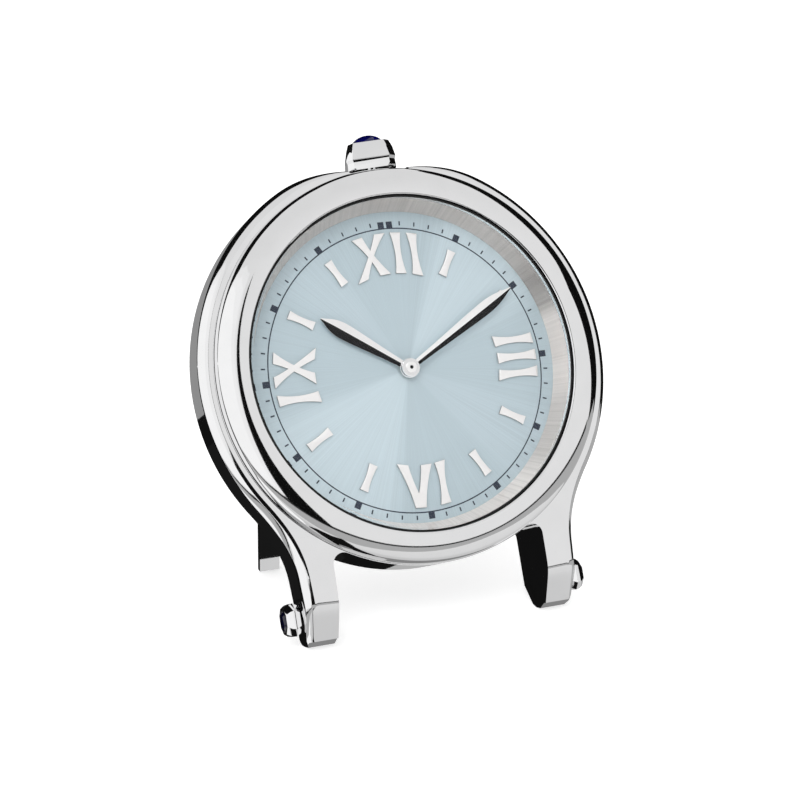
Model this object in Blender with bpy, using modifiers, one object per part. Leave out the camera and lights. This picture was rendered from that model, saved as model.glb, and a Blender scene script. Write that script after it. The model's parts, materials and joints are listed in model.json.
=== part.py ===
"""A round table clock that leans back on two legs and a folding rear stand.

Units are metres, +Z is up and the dial looks towards -Y. The pieces are modelled round the dial's centre,
under an empty whose own Z is the dial's normal and whose own Y points to twelve o'clock.
"""

import math

import bmesh
import bpy
from mathutils import Matrix, Vector

MM = 0.001
QUARTER_TURN = math.pi / 2

# Stance
lean_angle = math.radians(26.4)
foot_cut = 0.33 * MM

# Clearances
seat_gap = 0.3 * MM
laid_gap = 0.05 * MM
fit_gap = 0.1 * MM
weld_distance = 0.0005 * MM
overrun = 5.0 * MM

# Fineness of round shapes
large_steps = 64
ring_steps = 48
small_steps = 24
pin_steps = 16
flank_steps = 19
curve_steps = 7
corner_steps = 5
stroke_steps = 6
smooth_angle = math.radians(35)

# Case frame: a ring with two legs
frame_radius = 40.0 * MM
frame_front = 1.87 * MM
front_bevel_width = 1.8 * MM
front_bevel_depth = 1.32 * MM
leg_bevel_extra = 0.9 * MM
side_wall_height = 6.75 * MM
rear_bevel_width = 2.8 * MM
rear_bevel_depth = 4.8 * MM
shoulder_drop = 1.8 * MM
shoulder_start = math.radians(9)
shoulder_end = math.radians(30)
shoulder_bevel_share = 0.3
recess_half_width = 5.7 * MM
recess_depth = 3.0 * MM
flank_angle = math.radians(125)
flank_pull = 5.5 * MM
flank_return = 5.0 * MM
leg_inset = 12.8 * MM
leg_width = 6.5 * MM
leg_top_rise = 13.1 * MM
leg_side_slope = math.radians(3.5)
leg_toe_width = 2.9 * MM
leg_toe_radius = 3.4 * MM
leg_reach = 9.6 * MM
leg_root_radius = 1.3 * MM
crease_rise = 8.6 * MM
toe_bend = math.radians(33)
toe_front_rise = 1.9 * MM
toe_front_back = 3.0 * MM
toe_low_rise = 1.0 * MM
toe_low_back = 5.2 * MM
toe_rear_rise = 1.4 * MM
toe_rear_back = 8.0 * MM
heel_rise = 5.7 * MM
ledge_width = 3.7 * MM
ledge_thickness = 3.9 * MM

# Bezel: a low domed ring over the front of the frame, with a full rounded shoulder
bezel_margin = 2.8 * MM
bezel_width = 5.65 * MM
bezel_crest_width = 0.4 * MM
bezel_rise = 3.78 * MM
bezel_lip_drop = 0.15 * MM
bezel_spigot_wall = 1.25 * MM
bezel_spigot_depth = 2.0 * MM
bezel_dome_shares = (
    (0, 1),
    (0.2, 0.985),
    (0.427, 0.93),
    (0.6, 0.862),
    (0.745, 0.784),
    (0.822, 0.729),
    (0.87, 0.68),
    (0.909, 0.62),
    (0.938, 0.551),
    (0.961, 0.458),
    (0.986, 0.283),
    (1, 0),
)
arch_lip = 0.15 * MM

# Crystal, its gasket and the sloping ring round the dial
crystal_thickness = 1.3 * MM
crystal_edge_bevel = 0.25 * MM
crystal_drop = 0.1 * MM
gasket_wall = 0.4 * MM
rehaut_foot_width = 2.05 * MM
rehaut_top_width = 0.5 * MM

# Dial, printed and pierced a little below the middle of the case
dial_drop = 0.65 * MM
dial_thickness = 0.4 * MM
dial_overlap = 1.9 * MM
dial_hole_radius = 1.6 * MM

# Applied hour marks
hour_step = math.radians(30)
mark_thickness = 0.35 * MM
mark_margin = 3.4 * MM
mark_length = 7.9 * MM
stroke_end_width = 2.15 * MM
stroke_waist_width = 1.2 * MM
letter_spread = 4.6 * MM
stroke_pitch = 3.25 * MM
ten_offset_at_twelve = 3.8 * MM
ten_offset_at_nine = 2.45 * MM
baton_margin = 1.3 * MM
baton_length = 5.2 * MM
baton_end_width = 1.5 * MM
baton_waist_width = 1.05 * MM

# Hands
hand_edge_thickness = 0.12 * MM
hand_ridge_thickness = 0.42 * MM
hand_gap = 0.35 * MM
hour_hand_margin = 7.0 * MM
hour_hand_width = 3.15 * MM
hour_hub_radius = 1.85 * MM
minute_hand_overlap = 0.1 * MM
minute_hand_width = 2.65 * MM
minute_hub_radius = 1.75 * MM
hub_thickness = 0.35 * MM
hub_boss_radius = 1.05 * MM
hub_boss_height = 0.35 * MM
hand_root_sink = 0.35 * MM
hand_shares = (
    (0, 0.43),
    (0.2, 0.57),
    (0.4, 0.75),
    (0.6, 0.93),
    (0.72, 1),
    (0.8, 0.95),
    (0.88, 0.72),
    (0.95, 0.34),
    (1, 0.05),
)
hour_angle = math.radians(-55)
minute_angle = math.radians(60)

# Motion work: a pinion on the minute arbor, the minute wheel and the hour wheel
arbor_radius = 0.75 * MM
arbor_tip_radius = 0.3 * MM
wheel_module = 0.2 * MM
wheel_thickness = 0.6 * MM
arbor_teeth = 12
minute_wheel_teeth = 36
minute_pinion_teeth = 10
hour_wheel_teeth = 40
tooth_tip_share = 0.11
tooth_root_share = 0.24
addendum_share = 0.75
dedendum_share = 1.05
pipe_wall = 0.42 * MM
post_radius = 0.45 * MM
motion_work_angle = math.radians(-100)

# Movement
plate_radius = 17.0 * MM
plate_gap = 0.45 * MM
plate_thickness = 3.5 * MM
plate_recess_radius = 9.4 * MM
plate_recess_depth = 1.9 * MM
module_length = 13.0 * MM
module_width = 10.0 * MM
module_depth = 3.6 * MM
module_offset = 2.0 * MM
module_rise = 1.0 * MM
module_corner = 1.6 * MM
coil_radius = 1.3 * MM
coil_length = 9.0 * MM
coil_flange_radius = 1.8 * MM
coil_flange_length = 0.8 * MM
coil_gap = 0.5 * MM
board_thickness = 0.6 * MM
board_margin = 0.8 * MM
board_gap = 1.0 * MM
board_half_sweep = math.radians(62)
battery_radius = 4.75 * MM
battery_thickness = 3.0 * MM
battery_offset = 4.0 * MM
battery_gap = 1.25 * MM
clip_thickness = 0.4 * MM
clip_width = 3.5 * MM
clip_overhang = 0.8 * MM

# Crown at twelve o'clock
crown_back = 2.4 * MM
crown_flat = 9.45 * MM
crown_corner = 1.2 * MM
crown_shares = ((1, 0.8), (0.75, 0.93), (0.5, 1), (0, 1.01))
crown_height = 5.6 * MM
crown_gap = 0.75 * MM
crown_radius = 6.1 * MM
crown_foot_radius = 3.5 * MM
crown_foot_height = 3.2 * MM
crown_turn = math.radians(-15.5)
cabochon_radius = 2.9 * MM
cabochon_height = 1.6 * MM
cabochon_sink = 0.4 * MM
crown_bore_depth = 2.2 * MM
stem_radius = 0.6 * MM
stem_reach = 6.7 * MM
groove_radius = 0.42 * MM
groove_rise = 3.0 * MM
groove_length = 0.8 * MM
tube_radius = 1.25 * MM
tube_stand = 0.4 * MM
clip_slot_half = 2.0 * MM
clip_blade = 0.5 * MM
clip_reach = 1.5 * MM
crown_pull = 1.2 * MM

# Knobs on the outer sides of the legs
knob_rise = 6.6 * MM
knob_back = 5.1 * MM
knob_flat = 6.0 * MM
knob_corner = 1.3 * MM
knob_shares = ((1, 0.78), (0.72, 0.94), (0.42, 1), (0.09, 0.84))
knob_length = 3.2 * MM
knob_stud_radius = 1.1 * MM
knob_stud_length = 2.2 * MM
knob_cabochon_radius = 1.8 * MM
knob_cabochon_height = 0.9 * MM
knob_cabochon_sink = 0.3 * MM

# Case back
back_margin = 1.6 * MM
back_flange = 4.1 * MM
back_thickness = 1.3 * MM
back_spigot_depth = 1.4 * MM
back_gasket_width = 0.8 * MM
back_gasket_thickness = 0.4 * MM
back_screw_count = 4
screw_margin = 1.7 * MM
screw_radius = 0.6 * MM
screw_head_radius = 1.15 * MM
screw_head_depth = 0.7 * MM
screw_length = 4.2 * MM
screw_slot_width = 0.35 * MM
screw_slot_depth = 0.3 * MM

# Folding stand behind the case
stand_rise = 6.7 * MM
stand_back = 2.7 * MM
stand_open = math.radians(31)
stand_thickness = 2.2 * MM
stand_foot_thickness = 1.1 * MM
stand_half_width = 24.1 * MM
arm_width = 4.1 * MM
crossbar_drop = 4.6 * MM
crossbar_height = 5.6 * MM
crossbar_corner = 2.4 * MM
barrel_radius = 1.7 * MM
barrel_half_length = 10.4 * MM
heel_thickness = 1.6 * MM
hinge_pin_radius = 0.75 * MM
hinge_running_gap = 0.08 * MM
bracket_length = 5.0 * MM
bracket_base = 1.0 * MM
bracket_rise = 9.0 * MM
bracket_foot = 2.6 * MM
bracket_screw_start = 1.7 * MM
bracket_screw_pitch = 3.2 * MM
bracket_screw_length = 1.9 * MM

# Places that follow from the sizes above
leg_length = frame_radius + leg_reach
leg_top_half = frame_radius - leg_inset
leg_top_drop = leg_length - leg_top_rise
leg_inner_half = leg_top_half - leg_width
leg_toe_half = leg_inner_half + leg_toe_width
crease_drop = leg_length - crease_rise
toe_front_drop = leg_length - toe_front_rise
toe_low_drop = leg_length - toe_low_rise
toe_rear_drop = leg_length - toe_rear_rise
heel_drop = leg_length - heel_rise
knob_drop = leg_length - knob_rise
leg_side_half = leg_top_half - (knob_drop - leg_top_drop) * math.tan(leg_side_slope)
dial_height = toe_rear_drop * math.cos(lean_angle) + toe_rear_back * math.sin(lean_angle) - foot_cut
shoulder_radius = frame_radius - shoulder_drop
recess_floor = frame_radius - recess_depth
bezel_radius = frame_radius - bezel_margin
bezel_inner_radius = bezel_radius - bezel_width
bezel_crest_radius = bezel_inner_radius + bezel_crest_width
arch_radius = bezel_radius + arch_lip
frame_seat_radius = bezel_inner_radius + bezel_spigot_wall + fit_gap
ledge_radius = frame_seat_radius - ledge_width
back_radius = frame_radius - rear_bevel_width - back_margin
rear_bore_radius = back_radius - back_flange
screw_circle = back_radius - screw_margin
frame_rear = frame_front - front_bevel_depth - side_wall_height - rear_bevel_depth
ledge_front = -dial_thickness - seat_gap
ledge_rear = ledge_front - ledge_thickness
dial_radius = frame_seat_radius - dial_overlap
bezel_foot = frame_front + seat_gap
bezel_crest = frame_front + bezel_rise
bezel_lip = bezel_crest - bezel_lip_drop
bezel_spigot_radius = frame_seat_radius - fit_gap
bezel_spigot_foot = bezel_foot - bezel_spigot_depth
gasket_radius = bezel_inner_radius - fit_gap
gasket_inner_radius = gasket_radius - gasket_wall
crystal_radius = gasket_inner_radius - fit_gap
crystal_front = bezel_lip - crystal_drop
crystal_rear = crystal_front - crystal_thickness
rehaut_radius = bezel_inner_radius - seat_gap
rehaut_foot_radius = bezel_inner_radius - rehaut_foot_width
rehaut_top_radius = bezel_inner_radius - rehaut_top_width
mark_outer_radius = rehaut_foot_radius - mark_margin
mark_inner_radius = mark_outer_radius - mark_length
baton_outer_radius = mark_outer_radius - baton_margin
baton_inner_radius = baton_outer_radius - baton_length
minute_hand_length = mark_outer_radius + minute_hand_overlap
hour_hand_length = mark_outer_radius - hour_hand_margin
hour_hand_height = laid_gap + mark_thickness + hand_gap
minute_hand_height = hour_hand_height + hub_thickness + hand_gap
ring_inner_radius = plate_radius + dial_drop + plate_gap
board_radius = plate_radius - board_margin
module_reach = math.hypot(module_offset + module_length / 2, module_rise + module_width / 2)
board_inner_radius = module_reach + board_gap
coil_offset = module_rise + module_width / 2 + coil_gap + coil_flange_radius
battery_drop = module_width / 2 - module_rise + battery_gap + battery_radius
rehaut_front = crystal_rear - seat_gap
plate_front = -dial_thickness - seat_gap
plate_rear = plate_front - plate_thickness
pinion_rear = plate_front - plate_recess_depth + seat_gap / 2
pinion_front = pinion_rear + wheel_thickness
hour_wheel_rear = pinion_front + fit_gap
hour_wheel_front = plate_front - fit_gap
pipe_bore_radius = arbor_radius + fit_gap
pipe_radius = pipe_bore_radius + pipe_wall
pipe_top = hour_hand_height + hub_thickness - fit_gap
wheel_distance = wheel_module * (arbor_teeth + minute_wheel_teeth) / 2
wheel_side = wheel_distance * math.cos(motion_work_angle)
wheel_rise = wheel_distance * math.sin(motion_work_angle)
hour_module = 2 * wheel_distance / (minute_pinion_teeth + hour_wheel_teeth)
back_front = frame_rear - back_gasket_thickness - 2 * fit_gap
back_rear = back_front - back_thickness
hinge_back = back_rear - stand_back
crown_foot = recess_floor + crown_gap
stem_foot = plate_radius - stem_reach
groove_foot = stem_foot + groove_rise


def clear_scene():
    for thing in list(bpy.data.objects):
        bpy.data.objects.remove(thing)


def make_collection(name):
    collection = bpy.data.collections.new(name)
    bpy.context.scene.collection.children.link(collection)
    return collection


def make_empty(name, parent, place=(0, 0, 0), turn=(0, 0, 0)):
    empty = bpy.data.objects.new(name, None)
    CLOCK.objects.link(empty)
    empty.parent = parent
    empty.location = place
    empty.rotation_euler = turn
    return empty


def finish(name, colour, metallic, roughness):
    """One Principled material."""
    material = bpy.data.materials.new(name)
    material.use_nodes = True
    shader = material.node_tree.nodes["Principled BSDF"]
    shader.inputs["Base Color"].default_value = (*colour, 1)
    shader.inputs["Metallic"].default_value = metallic
    shader.inputs["Roughness"].default_value = roughness
    return material


def polished_steel(name):
    return finish(name, (0.80, 0.80, 0.81), 1.0, 0.06)


def brushed_steel(name):
    return finish(name, (0.70, 0.70, 0.71), 1.0, 0.3)


def brass(name):
    return finish(name, (0.78, 0.62, 0.30), 1.0, 0.25)


def black_plastic(name):
    return finish(name, (0.03, 0.03, 0.03), 0.0, 0.5)


def sapphire(name):
    return finish(name, (0.01, 0.01, 0.12), 0.0, 0.05)


def settle(name, work, parent, look):
    """Welds a bmesh, faces it outwards and makes it an object."""
    bmesh.ops.remove_doubles(work, verts=work.verts, dist=weld_distance)
    bmesh.ops.dissolve_degenerate(work, edges=work.edges, dist=weld_distance)
    bmesh.ops.recalc_face_normals(work, faces=work.faces)
    mesh = bpy.data.meshes.new(name)
    work.to_mesh(mesh)
    work.free()
    mesh.shade_smooth()
    mesh.set_sharp_from_angle(angle=smooth_angle)
    made = bpy.data.objects.new(name, mesh)
    made.parent = parent
    if look is None:
        CUTTERS.objects.link(made)
        made.hide_render = True
        made.display_type = "WIRE"
    else:
        CLOCK.objects.link(made)
        mesh.materials.append(look(name))
    return made


def evaluated(source):
    """A bmesh of an object with its modifiers or curve settings applied; the object is removed."""
    graph = bpy.context.evaluated_depsgraph_get()
    mesh = bpy.data.meshes.new_from_object(source.evaluated_get(graph))
    work = bmesh.new()
    work.from_mesh(mesh)
    bpy.data.objects.remove(source)
    return work


def turned(name, profile, parent, look=None, steps=ring_steps, closed=True):
    """A profile of (radius, height) points turned round the parent's Z, down its outer side."""
    mesh = bpy.data.meshes.new(name)
    corners = [(radius, 0, height) for radius, height in profile]
    edges = [(i, i + 1) for i in range(len(corners) - 1)]
    if closed:
        edges.append((len(corners) - 1, 0))
    mesh.from_pydata(corners, edges, [])
    lathe = bpy.data.objects.new(name, mesh)
    CLOCK.objects.link(lathe)
    screw = lathe.modifiers.new("turn", "SCREW")
    screw.steps = screw.render_steps = steps
    screw.use_merge_vertices = True
    screw.merge_threshold = weld_distance
    return settle(name, evaluated(lathe), parent, look)


def disc(radius, top, bottom):
    """The profile of a plain disc or rod."""
    return [(0, top), (radius, top), (radius, bottom), (0, bottom)]


def rod(name, radius, top, bottom, parent, look=None, steps=small_steps):
    return turned(name, disc(radius, top, bottom), parent, look, steps, closed=False)


def ring(name, outer, inner, top, bottom, parent, look=None, steps=ring_steps):
    profile = [(inner, top), (outer, top), (outer, bottom), (inner, bottom)]
    return turned(name, profile, parent, look, steps)


def plate(name, loops, top, bottom, parent, look=None, turn=None):
    """Flat outlines, a hole for each one inside another, between two heights."""
    curve = bpy.data.curves.new(name, "CURVE")
    curve.dimensions = "2D"
    curve.fill_mode = "BOTH"
    curve.extrude = (top - bottom) / 2
    for loop in loops:
        spline = curve.splines.new("POLY")
        spline.points.add(len(loop) - 1)
        for point, (x, y) in zip(spline.points, loop):
            point.co = (x, y, 0, 1)
        spline.use_cyclic_u = True
    flat = bpy.data.objects.new(name, curve)
    CLOCK.objects.link(flat)
    work = evaluated(flat)
    bmesh.ops.translate(work, verts=work.verts, vec=(0, 0, (top + bottom) / 2))
    if turn is not None:
        bmesh.ops.transform(work, matrix=turn, verts=work.verts)
    return settle(name, work, parent, look)


def block(name, low, high, parent, look=None):
    """A box between two corners."""
    work = bmesh.new()
    bmesh.ops.create_cube(work, size=1)
    low, high = Vector(low), Vector(high)
    scale = Matrix.Diagonal((*(high - low), 1))
    bmesh.ops.transform(work, matrix=Matrix.Translation((low + high) / 2) @ scale, verts=work.verts)
    return settle(name, work, parent, look)


def lofted(name, sections, parent, look=None, cuts=(), reshape=None):
    """A solid through closed sections that have the same number of points."""
    work = bmesh.new()
    rings = [[work.verts.new(point) for point in section] for section in sections]
    count = len(rings[0])
    for above, below in zip(rings, rings[1:]):
        for i in range(count):
            j = (i + 1) % count
            work.faces.new((above[i], above[j], below[j], below[i]))
    work.faces.new(rings[0])
    work.faces.new(rings[-1])
    bmesh.ops.triangulate(work, faces=work.faces[:])
    for place, normal in cuts:
        everything = work.verts[:] + work.edges[:] + work.faces[:]
        bmesh.ops.bisect_plane(work, geom=everything, dist=weld_distance, plane_co=place, plane_no=normal)
    if reshape is not None:
        for vert in work.verts:
            vert.co = reshape(vert.co)
    bmesh.ops.triangulate(work, faces=[face for face in work.faces if len(face.verts) == 4])
    return settle(name, work, parent, look)


def combine(target, other, operation):
    """Adds a Boolean to the target; the other object becomes a cutter."""
    boolean = target.modifiers.new(other.name, "BOOLEAN")
    boolean.operation = operation
    boolean.object = other
    boolean.solver = "EXACT"


def cut(target, *others):
    for other in others:
        combine(target, other, "DIFFERENCE")


def join(target, *others):
    for other in others:
        combine(target, other, "UNION")


def circle(radius, steps):
    angles = [2 * math.pi * i / steps for i in range(steps)]
    return [(radius * math.cos(a), radius * math.sin(a)) for a in angles]


def arc(centre, radius, start, end, steps):
    """Points on an arc whose angles run from +X towards +Y."""
    angles = [start + (end - start) * i / steps for i in range(steps + 1)]
    return [(centre[0] + radius * math.cos(a), centre[1] + radius * math.sin(a)) for a in angles]


def clock_point(radius, angle):
    """A point on the dial at an angle turned clockwise from twelve."""
    return (radius * math.sin(angle), radius * math.cos(angle))


def rounded_box(half_x, half_y, corner, centre):
    """An outline with rounded corners."""
    points = []
    for quarter in range(4):
        side = QUARTER_TURN * quarter
        x = (half_x - corner) * (1 if quarter in (0, 3) else -1)
        y = (half_y - corner) * (1 if quarter in (0, 1) else -1)
        points += arc((centre[0] + x, centre[1] + y), corner, side, side + QUARTER_TURN, corner_steps)
    return points


def side_profile():
    """Turns a flat piece so that its X and Y lie along the parent's Y and Z."""
    return Matrix(((0, 0, 1, 0), (1, 0, 0, 0), (0, 1, 0, 0), (0, 0, 0, 1)))


def outer_half(inset, drop):
    """The frame's outer edge on the right, from the crown's recess to the foot of the leg.

    Each point is (x, y, fall), where fall is how much lower the section lies there: drop on the leg's side.
    """
    reach = shoulder_end - shoulder_start
    points, shares, falls = [], [], []
    for i in range(curve_steps):
        share = i / curve_steps
        radius = shoulder_radius + (frame_radius - shoulder_radius) * math.sin(share * QUARTER_TURN)
        points.append(clock_point(radius, shoulder_start + reach * share))
        shares.append(shoulder_bevel_share + (1 - shoulder_bevel_share) * share)
        falls.append(0)
    for i in range(flank_steps + 1):
        share = i / flank_steps
        points.append(clock_point(frame_radius, shoulder_end + (flank_angle - shoulder_end) * share))
        shares.append(1)
        falls.append(0)
    first = Vector(clock_point(frame_radius, flank_angle))
    along = Vector((math.cos(flank_angle), -math.sin(flank_angle)))
    last = Vector((leg_top_half, -leg_top_drop))
    down = Vector((-math.sin(leg_side_slope), -math.cos(leg_side_slope)))
    pull, pushed = first + along * flank_pull, last - down * flank_return
    for i in range(1, curve_steps + 1):
        t = i / curve_steps
        near = first * (1 - t) ** 3 + pull * 3 * t * (1 - t) ** 2
        far = pushed * 3 * t**2 * (1 - t) + last * t**3
        points.append(tuple(near + far))
        shares.append(1)
        falls.append(drop * t)
    toe = Vector((leg_toe_half, -leg_length))
    side_drop = (leg_length - leg_toe_radius - leg_top_drop) / math.cos(leg_side_slope)
    corner = last + down * side_drop
    for i in range(corner_steps + 1):
        turn = QUARTER_TURN * i / corner_steps
        x = toe.x + (corner.x - toe.x) * math.cos(turn)
        y = corner.y + (toe.y - corner.y) * math.sin(turn)
        points.append((x, y))
        shares.append(math.cos(turn))
        falls.append(drop * math.cos(turn))
    moved = [(recess_half_width, recess_floor, 0)]
    for i, (x, y) in enumerate(points):
        before = Vector(points[max(i - 1, 0)])
        after = Vector(points[min(i + 1, len(points) - 1)])
        way = (after - before).normalized()
        moved.append((x + way.y * inset * shares[i], y - way.x * inset * shares[i], falls[i]))
    return moved


def inner_half():
    """The inside of the right leg and the arch between the legs, from the foot to six o'clock."""
    reach = arch_radius + leg_root_radius
    x = leg_inner_half - leg_root_radius
    y = -math.sqrt(reach**2 - x**2)
    points = [(leg_inner_half, -leg_length)]
    points += arc((x, y), leg_root_radius, 0, math.atan2(-y, -x), corner_steps)
    arch_start = math.atan2(x, y)
    for i in range(1, curve_steps + 1):
        points.append(clock_point(arch_radius, arch_start + (math.pi - arch_start) * i / curve_steps))
    return [(x, y, 0) for x, y in points]


def frame_section(height, inset, drop=0):
    half = outer_half(inset, drop) + inner_half()
    whole = half + [(-x, y, fall) for x, y, fall in reversed(half[:-1])]
    return [(x, y, height - fall) for x, y, fall in whole]


def bent_toe(point):
    """Leans the front of the legs back below their crease."""
    below = max(0, -crease_drop - point.y)
    depth_share = (point.z - frame_rear) / (frame_front - frame_rear)
    return Vector((point.x, point.y, point.z - below * math.tan(toe_bend) * depth_share))


def make_frame():
    bevel_foot = frame_front - front_bevel_depth
    sections = [
        frame_section(frame_front, front_bevel_width),
        frame_section(bevel_foot, 0, leg_bevel_extra),
        frame_section(bevel_foot - side_wall_height, 0),
        frame_section(frame_rear, rear_bevel_width),
    ]
    crease = ((0, -crease_drop, 0), (0, 1, 0))
    frame = lofted("case_frame", sections, CLOCK_AXIS, polished_steel, [crease], bent_toe)
    wide = frame_radius + overrun
    heel = Vector((-heel_drop, frame_rear))
    toe_rear = Vector((-toe_rear_drop, -toe_rear_back))
    past_heel = heel + (heel - toe_rear)
    profile = [
        (wide, overrun * 2),
        (wide, past_heel.y),
        tuple(past_heel),
        (-toe_rear_drop, -toe_rear_back),
        (-toe_low_drop, -toe_low_back),
        (-toe_front_drop, -toe_front_back),
        (-toe_front_drop, overrun * 2),
    ]
    side = plate("leg_side_profile", [profile], wide, -wide, CLOCK_AXIS, turn=side_profile())
    combine(frame, side, "INTERSECT")
    floor = block("frame_floor_cutter", (-wide, -wide * 2, -wide), (wide, wide * 2, 0), None)
    bore = turned(
        "frame_bore",
        [
            (0, frame_front + overrun),
            (frame_seat_radius, frame_front + overrun),
            (frame_seat_radius, ledge_front),
            (ledge_radius, ledge_front),
            (ledge_radius, ledge_rear),
            (rear_bore_radius, ledge_rear),
            (rear_bore_radius, frame_rear - overrun),
            (0, frame_rear - overrun),
        ],
        CLOCK_AXIS,
        steps=ring_steps,
        closed=False,
    )
    tube_hole = rod("tube_hole", tube_radius + fit_gap, frame_radius + overrun, ledge_radius - tube_radius,
                    CROWN_LINE, steps=pin_steps)
    cut(frame, floor, bore, tube_hole)
    for i, angle in enumerate(screw_angles()):
        x, y = clock_point(screw_circle, angle)
        hole = rod(f"frame_screw_hole_{i + 1}", screw_radius + fit_gap, screw_length + seat_gap, -overrun,
                   make_empty(f"frame_screw_place_{i + 1}", CLOCK_AXIS, (x, y, frame_rear)), steps=pin_steps)
        cut(frame, hole)
    for side_name, knob_axis in KNOB_AXES.items():
        hole = rod(f"knob_hole_{side_name}", knob_stud_radius + fit_gap, overrun,
                   -knob_stud_length - seat_gap, knob_axis, steps=pin_steps)
        cut(frame, hole)


def make_bezel():
    reach = bezel_radius - bezel_crest_radius
    height = bezel_crest - bezel_foot
    dome = [
        (bezel_crest_radius + reach * width_share, bezel_foot + height * height_share)
        for width_share, height_share in bezel_dome_shares
    ]
    foot = [
        (bezel_spigot_radius, bezel_foot),
        (bezel_spigot_radius, bezel_spigot_foot),
        (bezel_inner_radius, bezel_spigot_foot),
        (bezel_inner_radius, bezel_lip),
    ]
    turned("bezel", dome + foot, CLOCK_AXIS, polished_steel, large_steps)


def make_crystal():
    edge = crystal_edge_bevel
    turned(
        "crystal",
        [
            (0, crystal_front),
            (crystal_radius - edge, crystal_front),
            (crystal_radius, crystal_front - edge),
            (crystal_radius, crystal_rear),
            (0, crystal_rear),
        ],
        CLOCK_AXIS,
        lambda name: finish(name, (0.95, 0.97, 0.98), 0.0, 0.02),
        large_steps,
        closed=False,
    )
    ring("crystal_gasket", gasket_radius, gasket_inner_radius, crystal_front - edge, crystal_rear,
         CLOCK_AXIS, lambda name: finish(name, (0.02, 0.02, 0.02), 0.0, 0.4), large_steps)


def make_rehaut():
    turned(
        "rehaut_ring",
        [
            (rehaut_top_radius, rehaut_front),
            (rehaut_radius, rehaut_front),
            (rehaut_radius, laid_gap),
            (rehaut_foot_radius, laid_gap),
        ],
        CLOCK_AXIS,
        brushed_steel,
        large_steps,
    )


def make_dial():
    ring("dial", dial_radius, dial_hole_radius, 0, -dial_thickness, DIAL_AXIS,
         lambda name: finish(name, (0.53, 0.66, 0.72), 0.3, 0.35), large_steps)


def stroke_half(t, end_width, waist_width):
    """Half the width of a flared stroke, t running from -1 to 1 along it."""
    return (waist_width + (end_width - waist_width) * t * t) / 2


def radial_length(offset, radius):
    """How far out a point at a sideways offset lies, on a circle round the dial's centre."""
    return math.sqrt(radius**2 - offset**2)


def flared_stroke(foot, head, end_width, waist_width, inner_radius, outer_radius):
    """A stroke between sideways offsets at its foot and head, its ends on two circles round the centre."""
    sides = {1: [], -1: []}
    for side, points in sides.items():
        for i in range(stroke_steps + 1):
            place = i / stroke_steps
            half = stroke_half(2 * place - 1, end_width, waist_width)
            offset = foot + (head - foot) * place + side * half
            low = radial_length(offset, inner_radius)
            high = radial_length(offset, outer_radius)
            points.append((offset, low + (high - low) * place))
    return sides[-1] + sides[1][::-1]


def mark(name, loop, angle):
    """One applied stroke, drawn pointing to twelve and turned clockwise to its place."""
    turn = Matrix.Rotation(-angle, 4, "Z")
    return plate(name, [loop], laid_gap + mark_thickness, laid_gap, DIAL_AXIS, polished_steel, turn)


def upright(name, offset, angle):
    loop = flared_stroke(offset, offset, stroke_end_width, stroke_waist_width, mark_inner_radius,
                         mark_outer_radius)
    return mark(name, loop, angle)


def crossed(name, offset, angle):
    """A ten: two strokes that cross."""
    ends = (offset - letter_spread / 2, offset + letter_spread / 2)
    first = mark(name, flared_stroke(ends[1], ends[0], stroke_end_width, stroke_waist_width,
                                     mark_inner_radius, mark_outer_radius), angle)
    second = plate(f"{name}_cross", [flared_stroke(ends[0], ends[1], stroke_end_width, stroke_waist_width,
                                                   mark_inner_radius, mark_outer_radius)],
                   laid_gap + mark_thickness, laid_gap, DIAL_AXIS, turn=Matrix.Rotation(-angle, 4, "Z"))
    join(first, second)


def vee(name, offset, angle):
    """A five that opens towards the centre."""
    top = letter_spread / 2
    first = mark(name, flared_stroke(offset - top, offset, stroke_end_width, stroke_end_width,
                                     mark_inner_radius, mark_outer_radius), angle)
    second = plate(f"{name}_arm", [flared_stroke(offset + top, offset, stroke_end_width, stroke_end_width,
                                                 mark_inner_radius, mark_outer_radius)],
                   laid_gap + mark_thickness, laid_gap, DIAL_AXIS, turn=Matrix.Rotation(-angle, 4, "Z"))
    join(first, second)


def make_marks():
    crossed("numeral_12_x", -ten_offset_at_twelve, 0)
    upright("numeral_12_i_1", stroke_pitch / 2, 0)
    upright("numeral_12_i_2", stroke_pitch * 3 / 2, 0)
    for i in (-1, 0, 1):
        upright(f"numeral_3_i_{i + 2}", i * stroke_pitch, 3 * hour_step)
    vee("numeral_6_v", stroke_pitch / 2, 6 * hour_step)
    upright("numeral_6_i", -stroke_pitch, 6 * hour_step)
    upright("numeral_9_i", -stroke_pitch, 9 * hour_step)
    crossed("numeral_9_x", ten_offset_at_nine, 9 * hour_step)
    for number in (1, 2, 4, 5, 7, 8, 10, 11):
        loop = flared_stroke(0, 0, baton_end_width, baton_waist_width, baton_inner_radius, baton_outer_radius)
        mark(f"baton_{number}", loop, number * hour_step)


def leaf_sections(length, width, root, height):
    """Sections along a hand that points to twelve: flat below, a ridge above, widest near the tip."""
    sections = []
    for share, width_share in hand_shares:
        y = root + (length - root) * share
        half = width * width_share / 2
        ridge = hand_edge_thickness + (hand_ridge_thickness - hand_edge_thickness) * width_share
        sections.append([
            (-half, y, height),
            (-half, y, height + hand_edge_thickness),
            (0, y, height + ridge),
            (half, y, height + hand_edge_thickness),
            (half, y, height),
        ])
    return sections


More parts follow.
